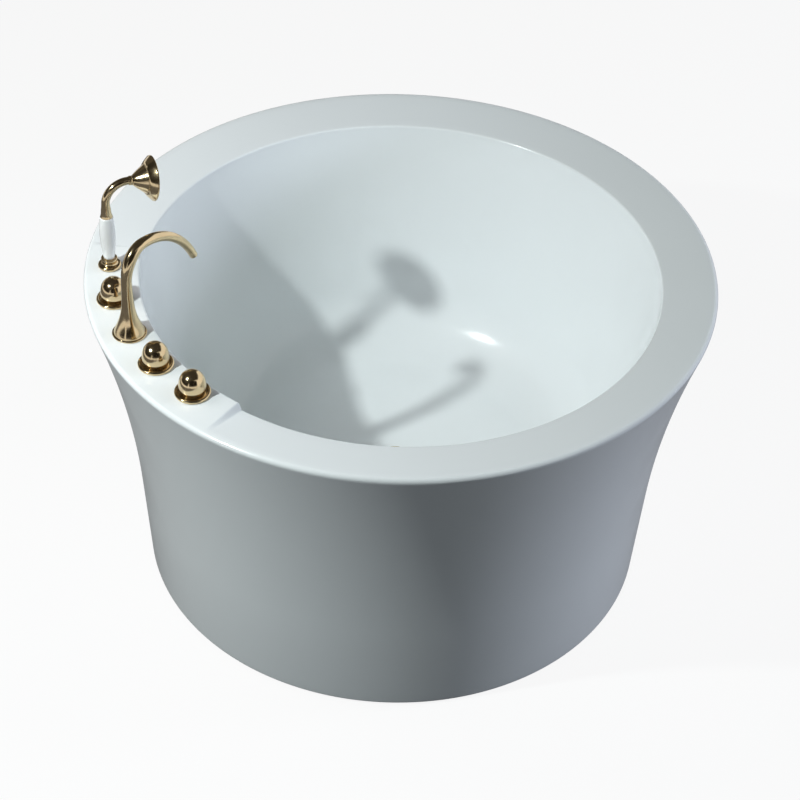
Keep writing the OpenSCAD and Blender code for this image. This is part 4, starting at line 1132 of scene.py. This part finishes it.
class TUB_OT_stage(bpy.types.Operator):
    """Sets the floor, the lamps, the cards and the camera"""

    bl_idname = "tub.set_stage"
    bl_label = "Stage"

    def execute(self, context):
        settings = context.scene.tub_stage
        set_floor(settings)
        set_world(settings)
        across, up = settings.key_azimuth, settings.key_elevation
        level = math.cos(up)
        travel = Vector((math.cos(across) * level, math.sin(across) * level, -math.sin(up)))
        key_target, tub_middle = Vector((-0.50, 0.08, 0.85)), (0, 0, 0.5)
        key = (key_target - travel * settings.key_distance, settings.key_size, settings.key_power)
        side, fill = settings.side_power, settings.fill_power
        lamps = (
            ("key", *key, (0.93, 1.0, 0.99)),
            ("side", (3.8, -1.6, 1.3), 1.2, side, (0.82, 0.87, 1.0)),
            ("fill_right", (2.4, -0.9, 4.0), 2.0, fill, (0.92, 1.0, 0.97)),
            ("fill_left", (-1.2, 0.5, 1.7), 0.8, fill * 0.29, (1.0, 0.93, 0.93)),
            ("fill_front", (-1.5, -4.0, 3.0), 1.6, fill * 0.6, (0.80, 0.92, 1.0)),
        )
        for name, place, size, power, tone in lamps:
            lamp = add_lamp(name, place, tub_middle, size, power, tone)
            lamp.visible_glossy = name == "key"
        # Cards that glow dimly and only reflections see: painted dark reflections of the
        # surroundings in the gold and the shell; card_floor paints a dark floor into them.
        cards = (
            ("card_left", (-5.0, 0.5, 2.6), 0.8, (9.0, 4.6), (0.030, 0.027, 0.022)),
            ("card_top", (0.0, 0.0, 5.2), 0.7, (10.0, 10.0), (0.050, 0.046, 0.040)),
            ("card_back", (0.0, 5.2, 2.8), 0.8, (10.0, 4.6), (0.090, 0.082, 0.070)),
            ("card_front", (-1.5, -5.4, 2.8), 0.8, (8.0, 4.6), (0.020, 0.018, 0.015)),
            ("card_floor", (0.0, 0.0, 0.0004), 1.0, (7.0, 7.0), FLOOR_BOUNCE),
        )
        for name, place, target_height, size, shade in cards:
            add_card(name, place, (0, 0, target_height), size, shade)
        set_camera(settings)
        context.scene.view_settings.view_transform = "Standard"
        return {"FINISHED"}


class TUB_PT_panel(bpy.types.Panel):
    """Sizes, finishes and steps of the tub"""

    bl_idname = "TUB_PT_panel"
    bl_label = "Round soaking tub"
    bl_space_type = "VIEW_3D"
    bl_region_type = "UI"
    bl_category = "Tub"

    def draw(self, context):
        layout = self.layout
        for group in GROUPS:
            box = layout.box()
            box.label(text=group.__doc__)
            settings = getattr(context.scene, GROUPS[group])
            for name in group.__annotations__:
                box.prop(settings, name)
        for step in STEPS:
            layout.operator(step.bl_idname)


GROUPS = {
    TubSizes: "tub_sizes",
    TapSizes: "tub_taps",
    HandsetSizes: "tub_handset",
    Finishes: "tub_finishes",
    StageSettings: "tub_stage",
    DetailSettings: "tub_detail",
}
STEPS = (
    TUB_OT_basin,
    TUB_OT_skirt,
    TUB_OT_knobs,
    TUB_OT_spout,
    TUB_OT_holder,
    TUB_OT_handset,
    TUB_OT_plug,
    TUB_OT_finish_solids,
    TUB_OT_stage,
)
CLASSES = (*GROUPS, *STEPS, TUB_PT_panel)


def register():
    """Registers the classes and hangs the settings on the scene."""
    for kind in CLASSES:
        bpy.utils.register_class(kind)
    for group, name in GROUPS.items():
        setattr(bpy.types.Scene, name, PointerProperty(type=group))


def unregister():
    """Takes the settings and the classes away again."""
    for name in GROUPS.values():
        delattr(bpy.types.Scene, name)
    for kind in reversed(CLASSES):
        bpy.utils.unregister_class(kind)


def main():
    register()
    bpy.ops.tub.make_basin()
    bpy.ops.tub.make_skirt()
    bpy.ops.tub.make_knobs()
    bpy.ops.tub.make_spout()
    bpy.ops.tub.make_holder()
    bpy.ops.tub.make_handset()
    bpy.ops.tub.make_plug()
    bpy.ops.tub.finish_solids()
    bpy.ops.tub.set_stage()


if __name__ == "__main__":
    main()
